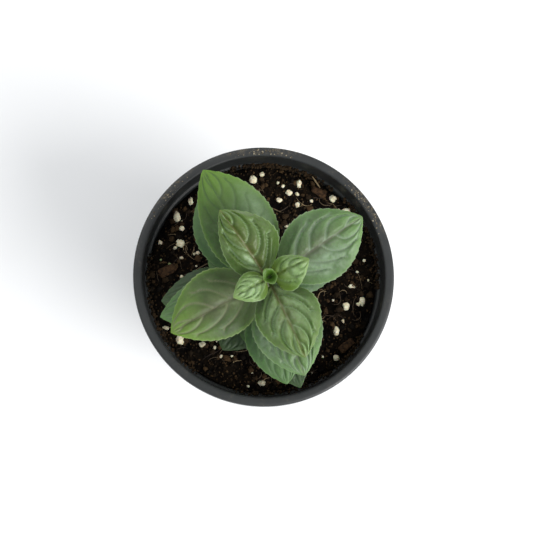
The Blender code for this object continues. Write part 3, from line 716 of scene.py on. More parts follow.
# ---- pot -------------------------------------------------------------------------------------
def pot_corners():
    """The pot's half section with each corner's fillet, from under the floor round to its top."""
    return (
        (0.9, FOOT_RECESS - 0.5, 0.0),
        (1.6, FOOT_RECESS, 0.2),
        (FOOT_RADIUS - FOOT_RING_WIDTH - 0.6, FOOT_RECESS, 0.5),
        (FOOT_RADIUS - FOOT_RING_WIDTH, 0.0, 0.4),
        (FOOT_RADIUS + 0.1, 0.0, 0.9),
        (WALL_TOP_RADIUS, COLLAR_BASE_Z, 0.8),
        (COLLAR_RADIUS, COLLAR_BASE_Z + 1.8, 0.8),
        (COLLAR_RADIUS, POT_HEIGHT - 1.6, 0.5),
        (LIP_RADIUS - LIP_WALL, POT_HEIGHT - 1.7, 0.5),
        (LIP_RADIUS - LIP_WALL, POT_HEIGHT - LIP_DROP, 0.3),
        (LIP_RADIUS, POT_HEIGHT - LIP_DROP, 0.45),
        (LIP_RADIUS, POT_HEIGHT - 0.1, 1.2),
        (LIP_RADIUS - 1.9, POT_HEIGHT, 0.6),
        (MOUTH_RADIUS, POT_HEIGHT - 0.1, 0.9),
        (MOUTH_RADIUS - 0.5, LEDGE_Z + 0.5, 0.5),
        (LEDGE_INNER_RADIUS, LEDGE_Z, 0.35),
        (INNER_FLOOR_RADIUS, FLOOR_TOP_Z, 1.8),
        (1.0, FLOOR_TOP_Z, 0.0),
    )


def build_pot(settings):
    """The moulded pot, drained, in one piece."""
    points, faces = turned_surface(rounded_profile(pot_corners()), settings.segments, True)
    finish = moulded_polypropylene(tuple(settings.colour), tuple(settings.dirt), settings.dust)
    pot = make_piece("nursery_pot", points, faces, [finish], sharp=SHARP_CORNER)
    cutter = drain_cutter()
    cut = pot.modifiers.new("drain_holes", "BOOLEAN")
    cut.operation = "DIFFERENCE"
    cut.solver = "EXACT"
    cut.object = cutter
    apply_modifiers(pot)
    pot.data.set_sharp_from_angle(angle=math.radians(SHARP_CORNER))
    bpy.data.objects.remove(cutter, do_unlink=True)
    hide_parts("pot")
    return pot


def apply_modifiers(piece):
    """Turn the piece's modifiers into plain mesh."""
    shown = piece.evaluated_get(bpy.context.evaluated_depsgraph_get())
    mesh = bpy.data.meshes.new_from_object(shown)
    piece.modifiers.clear()
    piece.data = mesh


def drain_cutter():
    """One object holding every drain hole as a plain cylinder."""
    points, faces = [], []
    for hole in range(DRAIN_HOLES):
        angle = 2.0 * math.pi * (hole + 0.5) / DRAIN_HOLES
        centre = np.array((DRAIN_CIRCLE * math.cos(angle), DRAIN_CIRCLE * math.sin(angle), 0.0))
        tube, tube_faces = turned_surface(((DRAIN_RADIUS + 0.1, 1.6), (DRAIN_RADIUS, 5.2)), 48, True)
        start = len(points)
        points.extend(tube + centre)
        faces.extend(tuple(start + index for index in face) for face in tube_faces)
    mesh = bpy.data.meshes.new("drain_cutter")
    mesh.from_pydata([tuple(point) for point in np.asarray(points) * MM], [], faces)
    turn_faces_out(mesh)
    cutter = bpy.data.objects.new("drain_cutter", mesh)
    bpy.context.scene.collection.objects.link(cutter)
    return cutter


# ---- soil ------------------------------------------------------------------------------------
def inner_wall_radius(z):
    """The pot's inner radius at a height."""
    share = (z - INNER_FLOOR_Z) / (LEDGE_Z - 0.4 - INNER_FLOOR_Z)
    return INNER_FLOOR_RADIUS + (LEDGE_INNER_RADIUS - INNER_FLOOR_RADIUS) * share


def soil_height(x, y):
    """The soil's slow swells, the mound at the front right and the settled edge."""
    swell = 0.55 * math.sin(0.13 * x + 0.9) * math.cos(0.11 * y - 0.4)
    lumps = 0.25 * math.sin(0.37 * x - 0.22 * y) + 0.2 * math.cos(0.41 * y + 0.19 * x + 1.3)
    mound = 1.1 * math.exp(-((x - 32.0) ** 2 + (y + 24.0) ** 2) / 120.0)
    edge = SOIL_EDGE_DROP * (math.hypot(x, y) / LEDGE_INNER_RADIUS) ** 6
    return SOIL_LEVEL + swell + lumps + mound - edge


def soil_detail(x, y):
    """Clods, rounded crumbs and grit on top of the swells, in millimetres."""
    clods = noise.noise(Vector((x / 5.5, y / 5.5, 3.1)))
    coarse = 0.5 - noise.voronoi(Vector((x / 3.1, y / 3.1, 5.3)))[0][0]
    crumbs = 0.5 - noise.voronoi(Vector((x / 1.45, y / 1.45, 7.7)))[0][0]
    grit = noise.noise(Vector((x / 0.8, y / 0.8, 1.9)))
    return 1.0 * clods + 1.1 * coarse + 0.75 * crumbs + 0.25 * grit


def soil_top(x, y):
    """The height of the soil under a point, crumbs and all."""
    return soil_height(x, y) + soil_detail(x, y)


def build_soil(settings):
    """The potting mix: crumbly top, plain sides against the pot, as one closed block."""
    around = settings.segments
    rim = inner_wall_radius(SOIL_LEVEL - 1.0) - FIT_GAP
    radii = [rim * (index + 1) / settings.rings for index in range(settings.rings)]
    angles = [2.0 * math.pi * step / around for step in range(around)]
    points, shade = [], []
    for radius in radii:
        for angle in angles:
            x, y = radius * math.cos(angle), radius * math.sin(angle)
            relief = soil_detail(x, y)
            z = soil_height(x, y) + relief
            if radius == rim:
                z = min(z, SOIL_LEVEL - 0.5)
            points.append((x, y, z))
            # painted shade: low relief gives a low value, which the soil's finish paints darker
            shade.append(min(max(0.45 + 0.55 * relief, 0.0), 1.0))
    for radius, z in ((inner_wall_radius(40.0) - FIT_GAP, 40.0),
                      (inner_wall_radius(INNER_FLOOR_Z) - FIT_GAP, INNER_FLOOR_Z),
                      (INNER_FLOOR_RADIUS - 1.6, FLOOR_TOP_Z + FIT_GAP)):
        points.extend((radius * math.cos(a), radius * math.sin(a), z) for a in angles)
        shade.extend([0.5] * around)
    faces = ring_faces(settings.rings + 3, around)
    finish = peat_potting_mix(tuple(settings.peat))
    soil = make_piece("potting_mix", points, faces, [finish], masks={"shade": shade})
    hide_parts("potting_soil")
    return soil


def scatter_place(dice, reach=44.6):
    """A random place on the soil, evenly spread over its area."""
    radius = reach * math.sqrt(dice.random())
    angle = dice.uniform(0.0, 2.0 * math.pi)
    return radius * math.cos(angle), radius * math.sin(angle)


def build_crumbs(settings):
    """Loose crumbs on the soil, on the ledge and a few specks on the lip."""
    dice = random.Random(11)
    coarse, fine = lump_template(2), lump_template(1)
    crumbs = Gathering()
    for _ in range(settings.clods):
        x, y = scatter_place(dice)
        size = dice.uniform(1.3, 2.9)
        shape = (size, size * dice.uniform(0.6, 1.0), size * dice.uniform(0.5, 0.8))
        crumbs.add(*rough_lump(coarse, (x, y, soil_top(x, y) + 0.12 * size), shape, dice, 0.4),
                   dice.random() ** 2)
    for _ in range(settings.crumbs):
        x, y = scatter_place(dice, 45.0)
        size = dice.uniform(0.5, 1.25)
        shape = (size, size * dice.uniform(0.6, 1.0), size * dice.uniform(0.6, 0.9))
        crumbs.add(*rough_lump(fine, (x, y, soil_top(x, y) + 0.2 * size), shape, dice, 0.35),
                   dice.random() ** 1.5)
    dust = Gathering()
    for _ in range(settings.lip_specks):
        angle = math.radians(dice.gauss(dice.choice(LIP_DIRT_ANGLES), 6.0))
        radius = dice.uniform(MOUTH_RADIUS + 0.6, LIP_RADIUS - 1.0)
        size = 0.15 + 0.5 * dice.random() ** 2
        centre = (radius * math.cos(angle), radius * math.sin(angle), POT_HEIGHT + 0.1 * size)
        dust.add(*rough_lump(fine, centre, (size, 1.6 * size, 0.5 * size), dice), dice.random())
    for _ in range(settings.ledge_crumbs):
        turn = dice.choice(LEDGE_SOIL_TURNS)
        angle = math.radians(dice.uniform(*turn))
        radius = dice.uniform(LEDGE_INNER_RADIUS - 0.9, MOUTH_RADIUS - 0.9)
        size = dice.uniform(0.4, 1.5)
        centre = (radius * math.cos(angle), radius * math.sin(angle), LEDGE_Z + 0.05 + 0.2 * size)
        crumbs.add(*rough_lump(fine, centre, (size, size, 0.7 * size), dice), 0.6 * dice.random())
    crumbs.piece("soil_crumbs", peat_crumb())
    dust.piece("lip_dust", dry_dust())


def strand(route, width, around=5):
    """A tapering thread along a route of points."""
    route = [Vector(point) for point in route]
    points = []
    for index, here in enumerate(route):
        ahead = route[min(index + 1, len(route) - 1)] - route[max(index - 1, 0)]
        ahead.normalize()
        side = ahead.cross(Vector((0.0, 0.0, 1.0)))
        side = side.normalized() if side.length > 0.01 else Vector((1.0, 0.0, 0.0))
        lift = side.cross(ahead)
        share = index / (len(route) - 1)
        thick = 0.5 * width * (0.35 + 0.65 * math.sin(math.pi * min(max(share, 0.08), 0.92)))
        for turn in range(around):
            angle = 2.0 * math.pi * turn / around
            points.append(tuple(here + side * thick * math.cos(angle) + lift * thick * math.sin(angle)))
    return points, ring_faces(len(route), around)


def build_fibres(settings):
    """Peat and coir fibres lying over the crumbs, and one pale straw against the wall."""
    dice = random.Random(23)
    fibres = Gathering()
    for _ in range(settings.fibres):
        x, y = scatter_place(dice, 42.0)
        heading = dice.uniform(0.0, 2.0 * math.pi)
        bend = dice.uniform(-0.35, 0.35)
        length = dice.uniform(3.0, 9.0)
        route = []
        for step in range(9):
            if math.hypot(x, y) > 44.8:
                break
            arch = 0.35 * math.sin(math.pi * step / 8.0)
            route.append((x, y, soil_top(x, y) + 0.25 + arch))
            heading += bend + dice.uniform(-0.2, 0.2)
            x += length / 8.0 * math.cos(heading)
            y += length / 8.0 * math.sin(heading)
        if len(route) > 3:
            fibres.add(*strand(route, dice.uniform(0.14, 0.38)), dice.random() ** 2)
    straw = [(19.6 + 0.42 * step, 41.3 - 0.55 * step, 79.2 - 0.2 * step) for step in range(9)]
    fibres.add(*strand(straw, 0.7, 7), 0.95)
    piece = fibres.piece("peat_fibres", plant_fibre())
    return piece


# ---- perlite and bark --------------------------------------------------------------------------
def build_perlite(settings):
    """Every larger perlite grain in its own place, and the small ones as one sprinkling."""
    template = lump_template(4)
    finish = expanded_perlite(tuple(settings.perlite))
    for index in range(PERLITE_COUNT):
        node = f"perlite_{index + 1:02d}"
        low, high = (np.array(corner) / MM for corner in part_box(node))
        points, faces = template
        points = popped_grain(points, 100.0 + 7.0 * index)
        points = 0.5 * (low + high) + points * 0.5 * (high - low) * GRAIN_FILL
        dull = 0.35 if index in DULL_GRAINS else 1.0
        grain = make_piece(node + "_grain", points, faces, [finish],
                           masks={"shade": [dull] * len(points)})
        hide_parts(node)
    build_small_perlite(finish, settings)


def popped_grain(points, seed):
    """Dent a unit sphere into a faceted, pitted grain."""
    shaped = []
    for point in points:
        here = Vector(point)
        facets = noise.noise(here * 1.3 + Vector((seed, 0.0, 0.0)))
        pits = noise.noise(here * 4.2 + Vector((0.0, seed, 0.0)))
        fine = noise.noise(here * 9.0 + Vector((0.0, 0.0, seed)))
        shaped.append(here * (0.93 + 0.26 * facets + 0.09 * pits + 0.04 * fine))
    return np.array([point[:] for point in shaped])


def build_small_perlite(finish, settings):
    """Perlite too small to be a node, scattered thinly over the open soil."""
    dice = random.Random(41)
    template = lump_template(2)
    bits = Gathering()
    for x, y, size in PLACED_PERLITE:
        shape = (size, size * dice.uniform(0.7, 1.0), 0.8 * size)
        bits.add(*rough_lump(template, (x, y, soil_top(x, y) + 0.25 * size), shape, dice, 0.3),
                 dice.uniform(0.6, 1.0))
    for _ in range(settings.small_perlite):
        x, y = scatter_place(dice, 43.5)
        if math.hypot(x, y) < 20.0:
            continue
        size = dice.uniform(0.5, 1.6)
        shape = (size, size * dice.uniform(0.7, 1.0), 0.7 * size)
        bits.add(*rough_lump(template, (x, y, soil_top(x, y) + 0.15 * size), shape, dice, 0.3),
                 dice.uniform(0.3, 1.0))
    piece = bits.piece("perlite_fines", finish)


def build_bark(settings):
    """Bark chips, torn along their grain."""
    finish = composted_bark(tuple(settings.bark))
    for index, (x, y, length, width, turn) in enumerate(BARK):
        node = f"bark_chip_{index + 1}"
        middle = np.array((x, y, soil_height(x, y) + 0.15 * BARK_THICKNESS + 0.25))
        along = np.array((math.cos(math.radians(turn)), math.sin(math.radians(turn)), 0.0))
        across = np.array((-along[1], along[0], 0.0))
        steps, around = 22, 28
        points = []
        for step in range(steps):
            share = step / (steps - 1) - 0.5
            scale = np.interp(share, *zip(*BARK_SECTIONS))
            for turn_step in range(around):
                angle = 2.0 * math.pi * turn_step / around
                flat = math.copysign(abs(math.cos(angle)) ** 0.6, math.cos(angle))
                high = math.copysign(abs(math.sin(angle)) ** 0.6, math.sin(angle))
                torn = noise.noise(Vector((share * 2.0, 3.0 * flat, 3.0 * high + 9.0 * index)))
                ragged = 1.0 + 0.35 * torn
                end = 0.25 * length * noise.noise(Vector((flat * 2.0, high * 2.0, 5.0 + index)))
                points.append(middle + along * (share * length + end * abs(share))
                              + across * flat * 0.5 * width * scale * ragged
                              + np.array((0.0, 0.0, high * 0.5 * BARK_THICKNESS * scale * ragged)))
        chip = make_piece(node + "_flake", points, ring_faces(steps, around), [finish], sharp=50.0)
        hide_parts(node)


# ---- stem ------------------------------------------------------------------------------------
def stem_centre(z):
    """The middle of the stem at a height."""
    share = (z - STEM_FOOT[2]) / (STEM_TIP[2] - STEM_FOOT[2])
    return Vector(STEM_FOOT).lerp(Vector(STEM_TIP), share)


def stem_half_width(z):
    """Half width across the flats, swollen where a pair of leaves leaves the stem."""
    share = min(max((z - SOIL_LEVEL) / (STEM_TIP[2] - SOIL_LEVEL), 0.0), 1.0)
    half = STEM_HALF_WIDTH + (STEM_TIP_HALF_WIDTH - STEM_HALF_WIDTH) * share
    near = max(max(0.0, 1.0 - abs(z - row["height"]) / NODE_HALF_LENGTH) for row in LEAVES)
    return half * (1.0 + (NODE_SWELL - 1.0) * near)


def stem_surface(half, off_face):
    """Distance from the stem's middle to its side, at an angle from the middle of a flat."""
    corner = half * (1.0 + STEM_CORNER_CUT) / math.sqrt(2.0)
    return min(half / math.cos(off_face), corner / math.cos(math.radians(45.0) - off_face))


def build_stem(settings):
    """The square stem: rounded ribs at its corners, a shallow channel down each flat."""
    around = 40
    steps = 160
    points = []
    for step in range(steps):
        z = STEM_FOOT[2] + (STEM_TIP[2] - STEM_FOOT[2]) * step / (steps - 1)
        half = stem_half_width(z)
        centre = stem_centre(z)
        centre.x += 0.12 * math.sin(0.21 * z)
        centre.y += 0.10 * math.sin(0.17 * z + 1.0)
        for turn in range(around):
            angle = 2.0 * math.pi * turn / around
            off = (angle + math.pi / 4.0) % (math.pi / 2.0) - math.pi / 4.0
            square = 1.0 / (abs(math.cos(angle)) ** 5 + abs(math.sin(angle)) ** 5) ** 0.2
            channel = 1.0 - 0.09 * math.cos(2.0 * off) ** 6
            reach = half * square * channel
            heading = angle + math.radians(STEM_TURN)
            points.append((centre.x + reach * math.cos(heading),
                           centre.y + reach * math.sin(heading), z))
    finish = herb_stem(tuple(settings.stem))
    stem = make_piece("mint_stem", points, ring_faces(steps, around), [finish], sharp=70.0)
    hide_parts("stem")
    return stem


# ---- leaves ----------------------------------------------------------------------------------
def smooth_step(value, low, high):
    """Rise from 0 to 1 between two values, easing in and out."""
    share = np.clip((value - low) / (high - low), 0.0, 1.0)
    return share * share * (3.0 - 2.0 * share)


def blade_outline(share, widest):
    """Half width of an ovate blade along its length, 0 to 1, widest where asked."""
    share = np.clip(share, 0.0, 1.0)
    power = math.log(0.5) / math.log(widest)
    return np.maximum(np.sin(math.pi * share ** power), 0.0) ** (0.62 + 0.16 * share ** 4)


def leaf_frames(row, shares):
    """Walk out from the stem along the arching midrib; point, across and up axes per share."""
    total = row["petiole"] + row["length"]
    steps = 320
    step = total / steps
    turn = math.radians(row["turn"])
    off_face = math.radians(abs((row["turn"] - STEM_TURN + 45.0) % 90.0 - 45.0))
    start_out = stem_surface(stem_half_width(row["height"]), off_face) - PETIOLE_ROOT
    start_out += 0.5 * PETIOLE_HALF_WIDTH * math.sin(off_face)
    point = stem_centre(row["height"]) + start_out * Vector((math.cos(turn), math.sin(turn), 0.0))
    frames = []
    for i in range(steps + 1):
        blade = max(0.0, (i * step - row["petiole"]) / row["length"])
        pitch = math.radians(row["rise"] - row["droop"] * blade ** DROOP_POWER)
        heading = math.radians(row["turn"] + row["sweep"] * blade)
        along = Vector((math.cos(pitch) * math.cos(heading), math.cos(pitch) * math.sin(heading),
                        math.sin(pitch)))
        side = Vector((-math.sin(heading), math.cos(heading), 0.0))
        up = along.cross(side)
        roll = math.radians(row["roll"])
        across = math.cos(roll) * side + math.sin(roll) * up
        frames.append((point.copy(), across, along.cross(across)))
        point = point + along * step
    chosen = [frames[min(steps, round(share * steps))] for share in shares]
    return [np.array([item[axis][:] for item in chosen]) for axis in range(3)]


def vein_field(row, blade, across, sideways):
    """Per point, 0 to 1: side vein, painted shade in the furrow, painted highlight on the lip, and the
    pillow height between veins.
    """
    away = np.abs(across)
    side = np.where(across > 0.0, 0.0, 0.42)
    seed = row["turn"] * 0.37 + row["height"]
    lean = VEIN_LEAN * away + VEIN_ARCH * np.minimum(away, VEIN_LOOP) ** 3.5
    wander = 0.10 * np.sin(9.0 * blade + seed + np.sign(across))
    wander = wander + 0.06 * np.sin(8.0 * across + 2.0 * seed)
    rank = (blade - lean) * row["veins"] + side + 0.35 + wander
    run = np.gradient(blade[:, 0]) * row["length"] + 1e-6
    per_column = np.gradient(sideways, axis=1)
    per_column = np.where(np.abs(per_column) < 1e-4, 1e-4, per_column)
    slope_across = np.gradient(rank, axis=1) / per_column
    turned = slope_across * np.gradient(sideways, axis=0)
    slope_along = (np.gradient(rank, axis=0) - turned) / run[:, None]
    distance = np.abs(rank - np.round(rank)) / np.maximum(np.hypot(slope_across, slope_along), 0.08)
    inside = smooth_step(rank, 0.35, 0.75) * (1.0 - smooth_step(away, 0.66, 0.86))
    vein = np.exp(-(distance / VEIN_HALF_WIDTH) ** 2) * inside
    # painted shade in the furrow, wider below a side vein than above it
    lower_side = rank - np.round(rank) < 0.0
    furrow_shade_width = np.where(lower_side, *FURROW_SHADE_WIDTHS)
    furrow = np.exp(-(distance / furrow_shade_width) ** 2) * inside
    # painted highlight: a pale band on the lip above each side vein, on that side only
    lip = np.where(lower_side, 0.0, np.exp(-((distance - LIP_HIGHLIGHT_OFFSET) / LIP_HIGHLIGHT_HALF_WIDTH) ** 2)) * inside
    crown = 0.7 * (1.0 - np.exp(-(distance / 0.7) ** 1.4)) + 0.3 * np.abs(np.sin(math.pi * rank))
    settled = 1.0 - smooth_step(away, 0.66, 0.88)
    pillow = crown * settled + 0.5 * (1.0 - settled)
    spread = smooth_step(away, 0.02, 0.14) * (1.0 - 0.8 * smooth_step(away, 0.80, 1.0))
    return vein, furrow, lip, pillow * spread * smooth_step(rank, -0.2, 0.6)


def leaf_grid(row):
    """Top and bottom points of a leaf, with its masks, as (sections, columns) arrays."""
    teeth = max(4, round(row["length"] / TOOTH_SPACING))
    blade_steps = teeth * STEPS_PER_TOOTH
    stalk_steps = max(3, round(row["petiole"] / 0.5))
    columns = max(5, round(0.5 * row["width"] / COLUMN_WIDTH))
    total = row["petiole"] + row["length"]
    shares = np.concatenate([np.arange(stalk_steps) / stalk_steps * row["petiole"],
                             row["petiole"] + np.arange(blade_steps + 1) / blade_steps * row["length"]])
    shares /= total
    blade = np.clip((shares * total - row["petiole"]) / row["length"], 0.0, 1.0)[:, None]
    v = (np.arange(-columns, columns + 1) / columns)[None, :]
    away = np.abs(v)
    root = np.clip(blade / 0.3, 0.0, 1.0)
    narrow = PETIOLE_HALF_WIDTH + (TIP_HALF_WIDTH - PETIOLE_HALF_WIDTH) * root
    half = np.maximum(0.5 * row["width"] * blade_outline(blade, row["widest"]) * (blade > 0.0), narrow)
    reach = half * (1.0 + np.sign(v) * row["skew"])
    phase = (blade * teeth) % 1.0
    saw = np.where(phase < 0.9, (phase / 0.84) ** 1.4, 0.15) - 0.45
    toothed = smooth_step(blade, 0.10, 0.22) * (1.0 - smooth_step(blade, 0.93, 1.0))
    reach = reach * (1.0 + row["teeth"] * saw * toothed * smooth_step(away, 0.82, 1.0) / half)
    cup = math.radians(row["cup"])
    sideways = reach * np.sin(cup * v) / cup
    lift = reach * (1.0 - np.cos(cup * v)) / cup
    vein, furrow, lip, pillow = vein_field(row, blade, v + 0.0 * blade, sideways)
    leafy = smooth_step(blade, 0.0, 0.08)
    grow = smooth_step(half, 1.0, 4.0) * leafy
    midrib = np.exp(-(sideways / 0.42) ** 2) * leafy * (1.0 - 0.6 * blade)
    seed = row["turn"] * 0.37 + row["height"]
    wave = np.sin(2.0 * math.pi * (1.6 * blade + 0.17 * np.sign(v)) + seed) * away ** 3
    fine = np.array([[noise.noise(Vector((u * row["length"] / 1.9, s / 1.9, seed)))
                      for s in line] for u, line in zip(blade[:, 0], sideways)])
    crease = (1.0 - np.clip(np.abs(fine) * 3.2, 0.0, 1.0)) ** 2
    tapered = grow * (1.0 - 0.6 * smooth_step(blade, 0.78, 0.98))
    relief = row["quilt"] * (0.8 * pillow - 0.13 * crease * pillow) * tapered
    relief = relief - 0.34 * midrib * grow - 0.12 * vein * grow + row["wave"] * wave * grow
    thick = PETIOLE_THICKNESS + (BLADE_THICKNESS - PETIOLE_THICKNESS) * np.clip(blade / 0.2, 0.0, 1.0)
    ribs = 0.55 * midrib * (1.0 - 0.7 * blade) + 0.22 * vein * grow
    roundness = np.where(blade > 0.04, 1.0 - away ** 10, np.sqrt(np.clip(1.0 - away ** 2, 0.0, 1.0)))
    thickness = (thick + ribs) * roundness
    point, across_axis, up_axis = leaf_frames(row, shares)
    top = (point[:, None] + across_axis[:, None] * sideways[..., None]
           + up_axis[:, None] * (lift + relief)[..., None])
    bottom = top - up_axis[:, None] * thickness[..., None]
    # painted highlight: a soft pale patch on the blade, weaker where it sinks between the pillows
    share, place, offset, long_spread, wide_spread = row["bright"]
    bright = share * np.exp(-((blade - place) / long_spread) ** 2 - ((v - offset) / wide_spread) ** 2)
    bright = bright * (0.35 + 0.65 * pillow) * leafy
    full = np.zeros_like(vein)
    masks = {"vein": vein * grow, "midrib": midrib, "along": blade + full, "edge": away + full,
             "bright": bright, "furrow": furrow * grow, "lip": lip * grow}
    return top, bottom, masks


def bud_grid(heading):
    """One half of the cup at the growing tip: inner skin first, then the outer one."""
    turns = np.radians(np.linspace(-BUD_HALF_TURN, BUD_HALF_TURN, 45))[None, :]
    profile = np.array(BUD_PROFILE)
    share = np.linspace(0.0, 1.0, 33)
    radius = np.interp(share, np.linspace(0.0, 1.0, len(profile)), profile[:, 0])[:, None]
    rise = np.interp(share, np.linspace(0.0, 1.0, len(profile)), profile[:, 1])[:, None]
    peak = 0.78 + 0.22 * np.cos(turns) ** 2
    pointed = 0.22 * np.clip(1.0 - np.abs(turns) / 0.75, 0.0, 1.0) ** 1.5
    ripple = 1.0 + share[:, None] ** 2 * (pointed + 0.05 * np.sin(5.0 * turns + heading) - 0.04)
    middle = stem_centre(STEM_TIP[2])
    angle = turns + math.radians(heading)

    def skin(offset, drop):
        spread = radius * ripple * (0.94 + 0.06 * np.cos(turns)) + offset
        height = BUD_BASE_Z + rise * peak - drop
        return np.stack([middle.x + spread * np.cos(angle), middle.y + spread * np.sin(angle),
                         height + 0.0 * angle], axis=-1)

    wall = BUD_WALL * (1.0 - 0.5 * share[:, None] ** 4)
    inner = skin(0.0, 0.0)
    outer = skin(wall, 0.6 * wall)
    full = np.zeros(inner.shape[:2])
    # painted highlight: a pale arc near the rim on one side of the cup
    lit_turn = (math.radians(BUD_LIT_TURN) - angle + math.pi) % (2.0 * math.pi) - math.pi
    lit = np.exp(-(lit_turn / 0.55) ** 2 - ((share[:, None] - 0.66) / 0.12) ** 2)
    masks = {"vein": 0.4 * np.exp(-(turns / 0.1) ** 2) + full, "midrib": full,
             "along": share[:, None] + full, "edge": np.abs(turns) / math.pi + full,
             "bright": full + 0.75 * lit, "furrow": full, "lip": full}
    return inner, outer, masks


def skin_piece(name, top, bottom, masks, materials):
    """A closed sheet from the points of its two sides, the first side in the first material."""
    sections, wide = top.shape[:2]
    ring = np.concatenate([top, bottom[:, ::-1]], axis=1)
    values = {mask: np.concatenate([grid, grid[:, ::-1]], axis=1).ravel()
              for mask, grid in masks.items()}
    around = ring.shape[1]
    faces = ring_faces(sections, around)
    slots = [0 if index % around < wide - 1 else 1 for index in range((sections - 1) * around)]
    return make_piece(name, ring.reshape(-1, 3), faces, materials, slots + [1, 1], values, sharp=75.0)


def build_leaf(row, tops, underside):
    """One leaf: stalk and blade in one closed skin, upper and lower side in their own finish."""
    piece = skin_piece(row["name"] + "_blade", *leaf_grid(row), [tops[row["skin"]], underside])
    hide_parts(row["name"])


def build_leaves(settings):
    """Every leaf, and the two cupped leaves of the growing tip."""
    tops = {name: mint_leaf_top(name, skin) for name, skin in SKINS.items()}
    underside = mint_leaf_underside(tuple(settings.underside))
    for row in LEAVES:
        shaped = dict(row)
        shaped["quilt"] *= settings.quilting
        shaped["teeth"] *= settings.serration
        build_leaf(shaped, tops, underside)
    for name, heading in BUD_LEAVES:
        piece = skin_piece(name + "_cup", *bud_grid(heading), [tops["bud"], tops["crown"]])
        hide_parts(name)


# ---- stage -----------------------------------------------------------------------------------


def camera_axes():
    """The camera's right, up and back directions."""
    tilt, azimuth = math.radians(CAMERA_TILT), math.radians(CAMERA_AZIMUTH)
    back = Vector((math.sin(azimuth) * math.sin(tilt), -math.cos(azimuth) * math.sin(tilt),
                   math.cos(tilt)))
    right = (-back).cross(Vector((0.0, 1.0, 0.0))).normalized()
    return right, back.cross(right), back


def add_camera():
    """A lens almost straight above the pot."""
    right, up, back = camera_axes()
    target = Vector((0.0, 0.0, POT_HEIGHT * MM)) + right * AIM_RIGHT + up * AIM_UP
    data = bpy.data.cameras.new("overhead_camera")
    data.lens = CAMERA_LENS
    data.sensor_width = 36.0
    camera = bpy.data.objects.new("overhead_camera", data)
    turned = Matrix((right, up, back)).transposed().to_4x4()
    camera.matrix_world = Matrix.Translation(target + back * CAMERA_DISTANCE) @ turned
    bpy.context.scene.collection.objects.link(camera)
    bpy.context.scene.camera = camera


def add_softbox(name, place, size, power):
    """A round soft light turned towards the middle of the plant."""
    data = bpy.data.lights.new(name, "AREA")
    data.shape = "DISK"
    data.size = size
    data.energy = power
    light = bpy.data.objects.new(name, data)
    light.location = place
    light.rotation_euler = (Vector(LIGHT_AIM) - Vector(place)).to_track_quat("-Z", "Y").to_euler()
    bpy.context.scene.collection.objects.link(light)


def build_stage(settings):
    """White paper floor, one large soft light from the right front, and an even sky."""
    reach, drop = settings.paper_reach, PAPER_DROP
    mesh = bpy.data.meshes.new("paper_floor")
    corners = [(-reach, -reach, drop), (reach, -reach, drop),
               (reach, reach, drop), (-reach, reach, drop)]
    mesh.from_pydata(corners, [], [(0, 1, 2, 3)])
    mesh.materials.append(studio_paper(tuple(settings.paper)))
    floor = bpy.data.objects.new("paper_floor", mesh)
    bpy.context.scene.collection.objects.link(floor)
    add_softbox("key_softbox", KEY_PLACE, settings.key_size, settings.key_power)
    add_softbox("fill_softbox", FILL_PLACE, settings.fill_size, settings.fill_power)
    world = bpy.data.worlds.new("even_sky")
    world.use_nodes = True
    sky = world.node_tree.nodes["Background"]
    sky.inputs["Color"].default_value = hex_to_linear("F4F7FA")
    sky.inputs["Strength"].default_value = settings.sky
    bpy.context.scene.world = world
    bpy.context.scene.view_settings.view_transform = "Standard"
    bpy.context.scene.view_settings.exposure = settings.exposure
    add_camera()


# ---- settings --------------------------------------------------------------------------------
class MintPotSettings(bpy.types.PropertyGroup):
    """The pot's sizes and finish."""
    segments: bpy.props.IntProperty(name="Segments", description="Facets round the pot",
        default=192, min=32)
    colour: bpy.props.FloatVectorProperty(name="Colour", description="The moulded plastic",
        subtype="COLOR", size=4, min=0.0, max=1.0, default=hex_to_linear("222424"))
    dirt: bpy.props.FloatVectorProperty(name="Dirt", description="Dry soil on the lip",
        subtype="COLOR", size=4, min=0.0, max=1.0, default=hex_to_linear("615849"))
    dust: bpy.props.FloatProperty(name="Dust", description="How much dry soil clings to the lip",
        default=0.75, min=0.0, max=1.0, subtype="FACTOR")


class MintSoilSettings(bpy.types.PropertyGroup):
    """The potting mix and what lies in it."""
    segments: bpy.props.IntProperty(name="Segments", description="Soil points round the pot",
        default=360, min=32)
    rings: bpy.props.IntProperty(name="Rings", description="Soil points from middle to wall",
        default=100, min=8)
    clods: bpy.props.IntProperty(name="Clods", description="Larger crumbs",
        default=420, min=0)
    crumbs: bpy.props.IntProperty(name="Crumbs", description="Small crumbs",
        default=3200, min=0)
    fibres: bpy.props.IntProperty(name="Fibres", description="Peat fibres",
        default=170, min=0)
    small_perlite: bpy.props.IntProperty(name="Fine perlite", description="Small perlite bits",
        default=46, min=0)
    lip_specks: bpy.props.IntProperty(name="Specks", description="Specks on the lip",
        default=150, min=0)
    ledge_crumbs: bpy.props.IntProperty(name="Ledge crumbs",
        description="Crumbs washed on to the ledge",
        default=900, min=0)
    peat: bpy.props.FloatVectorProperty(name="Peat", description="The lighter of the two peat browns",
        subtype="COLOR", size=4, min=0.0, max=1.0, default=hex_to_linear("0C0905"))
    bark: bpy.props.FloatVectorProperty(name="Bark", description="The ridges of the bark chips",
        subtype="COLOR", size=4, min=0.0, max=1.0, default=hex_to_linear("4A3522"))
    perlite: bpy.props.FloatVectorProperty(name="Perlite", description="Clean perlite",
        subtype="COLOR", size=4, min=0.0, max=1.0, default=hex_to_linear("F2ECD2"))


